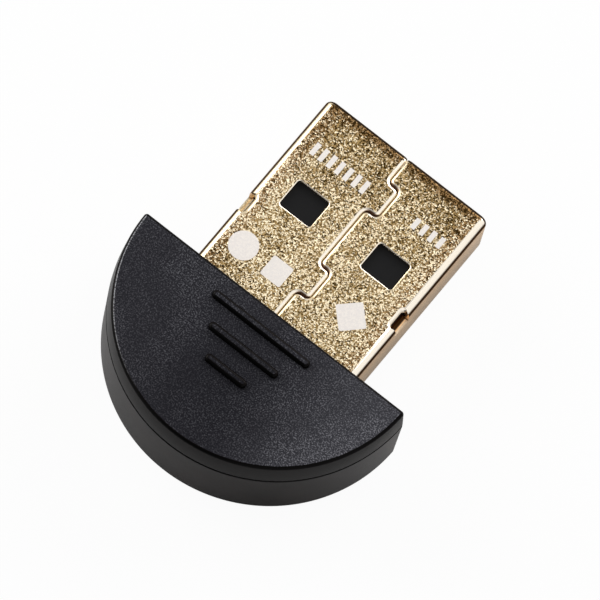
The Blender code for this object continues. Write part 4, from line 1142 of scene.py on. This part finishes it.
crystal, tree, out = empty_material("nickel_lid_on_ceramic")
own = add(tree, "SeparateXYZ", {0: add(tree, "TexCoord").outputs["Generated"]})
lid = add(tree, "MapRange", {"Value": own.outputs["Z"], **LID_HEIGHT}, **EASED)
grain = add(tree, "TexNoise", {"Vector": mm_coordinates(tree), "Scale": 1 / LID_GRAIN, "Detail": 2.0})
tint = add(tree, "Mix", {0: lid, 6: linear(TRAY_CERAMIC), 7: linear(LID_NICKEL)}, data_type="RGBA")
rough = add(tree, "MapRange", {"Value": grain, **LID_ROUGHNESS}, **EASED)
bump = add(tree, "Bump", {"Strength": 0.2, "Distance": 0.005 * MM, "Height": grain})
shader = add(tree, "BsdfPrincipled", {
    "Base Color": tint,
    "Metallic": lid,
    "Roughness": rough,
    "Normal": bump,
})
tree.links.new(shader.outputs[0], out.inputs["Surface"])
wear("clock_crystal", crystal)


# Ceramic parts
# The aerial, capacitors, resistors and inductor: fired or glazed blocks whose two ends are dipped in
# silver and tinned for soldering. Each body has a dark and a pale colour, and its pieces.
TIN = "C9C8C2"
END_SHARE = 0.2
FIRED_GRAIN = 0.06
FIRED_ROUGHNESS = 0.45
TIN_ROUGHNESS = 0.3
ON_END = span(0.5 - END_SHARE - 0.01, 0.5 - END_SHARE + 0.01)
BODIES = {
    "white_ceramic": ("DAD9D2", "E6E5DE", ("chip_antenna",)),
    "tan_ceramic": ("8E7253", "A98B68", [f"capacitor_{i}" for i in range(1, 7)]),
    "black_glaze": ("18181A", "26262A", [f"resistor_{i}" for i in range(1, 4)]),
    "grey_ferrite": ("4C4C4F", "5E5E60", ("inductor",)),
}


def tinned_block(name, dark, pale, axis):
    """A fired body with tinned ends across an axis of the piece's own box."""
    material, tree, out = empty_material(name)
    mm = mm_coordinates(tree)
    own = add(tree, "SeparateXYZ", {0: add(tree, "TexCoord").outputs["Generated"]})
    from_middle = add(tree, "Math", {0: own.outputs[axis], 1: 0.5}, operation="SUBTRACT")
    off_middle = add(tree, "Math", {0: from_middle}, operation="ABSOLUTE")
    ends = add(tree, "MapRange", {"Value": off_middle, **ON_END}, **EASED)
    grain = add(tree, "TexNoise", {"Vector": mm, "Scale": 1 / FIRED_GRAIN, "Detail": 3.0})
    fired = add(tree, "Mix", {0: grain, 6: linear(dark), 7: linear(pale)}, data_type="RGBA")
    tint = add(tree, "Mix", {0: ends, 6: fired, 7: linear(TIN)}, data_type="RGBA")
    bump = add(tree, "Bump", {"Strength": 0.2, "Distance": 0.008 * MM, "Height": grain})
    rough = add(tree, "Mix", {0: ends, 2: FIRED_ROUGHNESS, 3: TIN_ROUGHNESS}, data_type="FLOAT")
    shader = add(tree, "BsdfPrincipled", {
        "Base Color": tint,
        "Metallic": ends,
        "Roughness": rough,
        "Normal": bump,
    })
    tree.links.new(shader.outputs[0], out.inputs["Surface"])
    return material


for finish, (dark, pale, names) in BODIES.items():
    made = {}
    for name in names:
        low_corner, high_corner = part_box(name)
        size = high_corner - low_corner
        axis = "X" if size.x > size.y else "Y"
        if axis not in made:
            made[axis] = tinned_block(f"{finish}_ends_{axis.lower()}", dark, pale, axis)
        wear(name, made[axis])
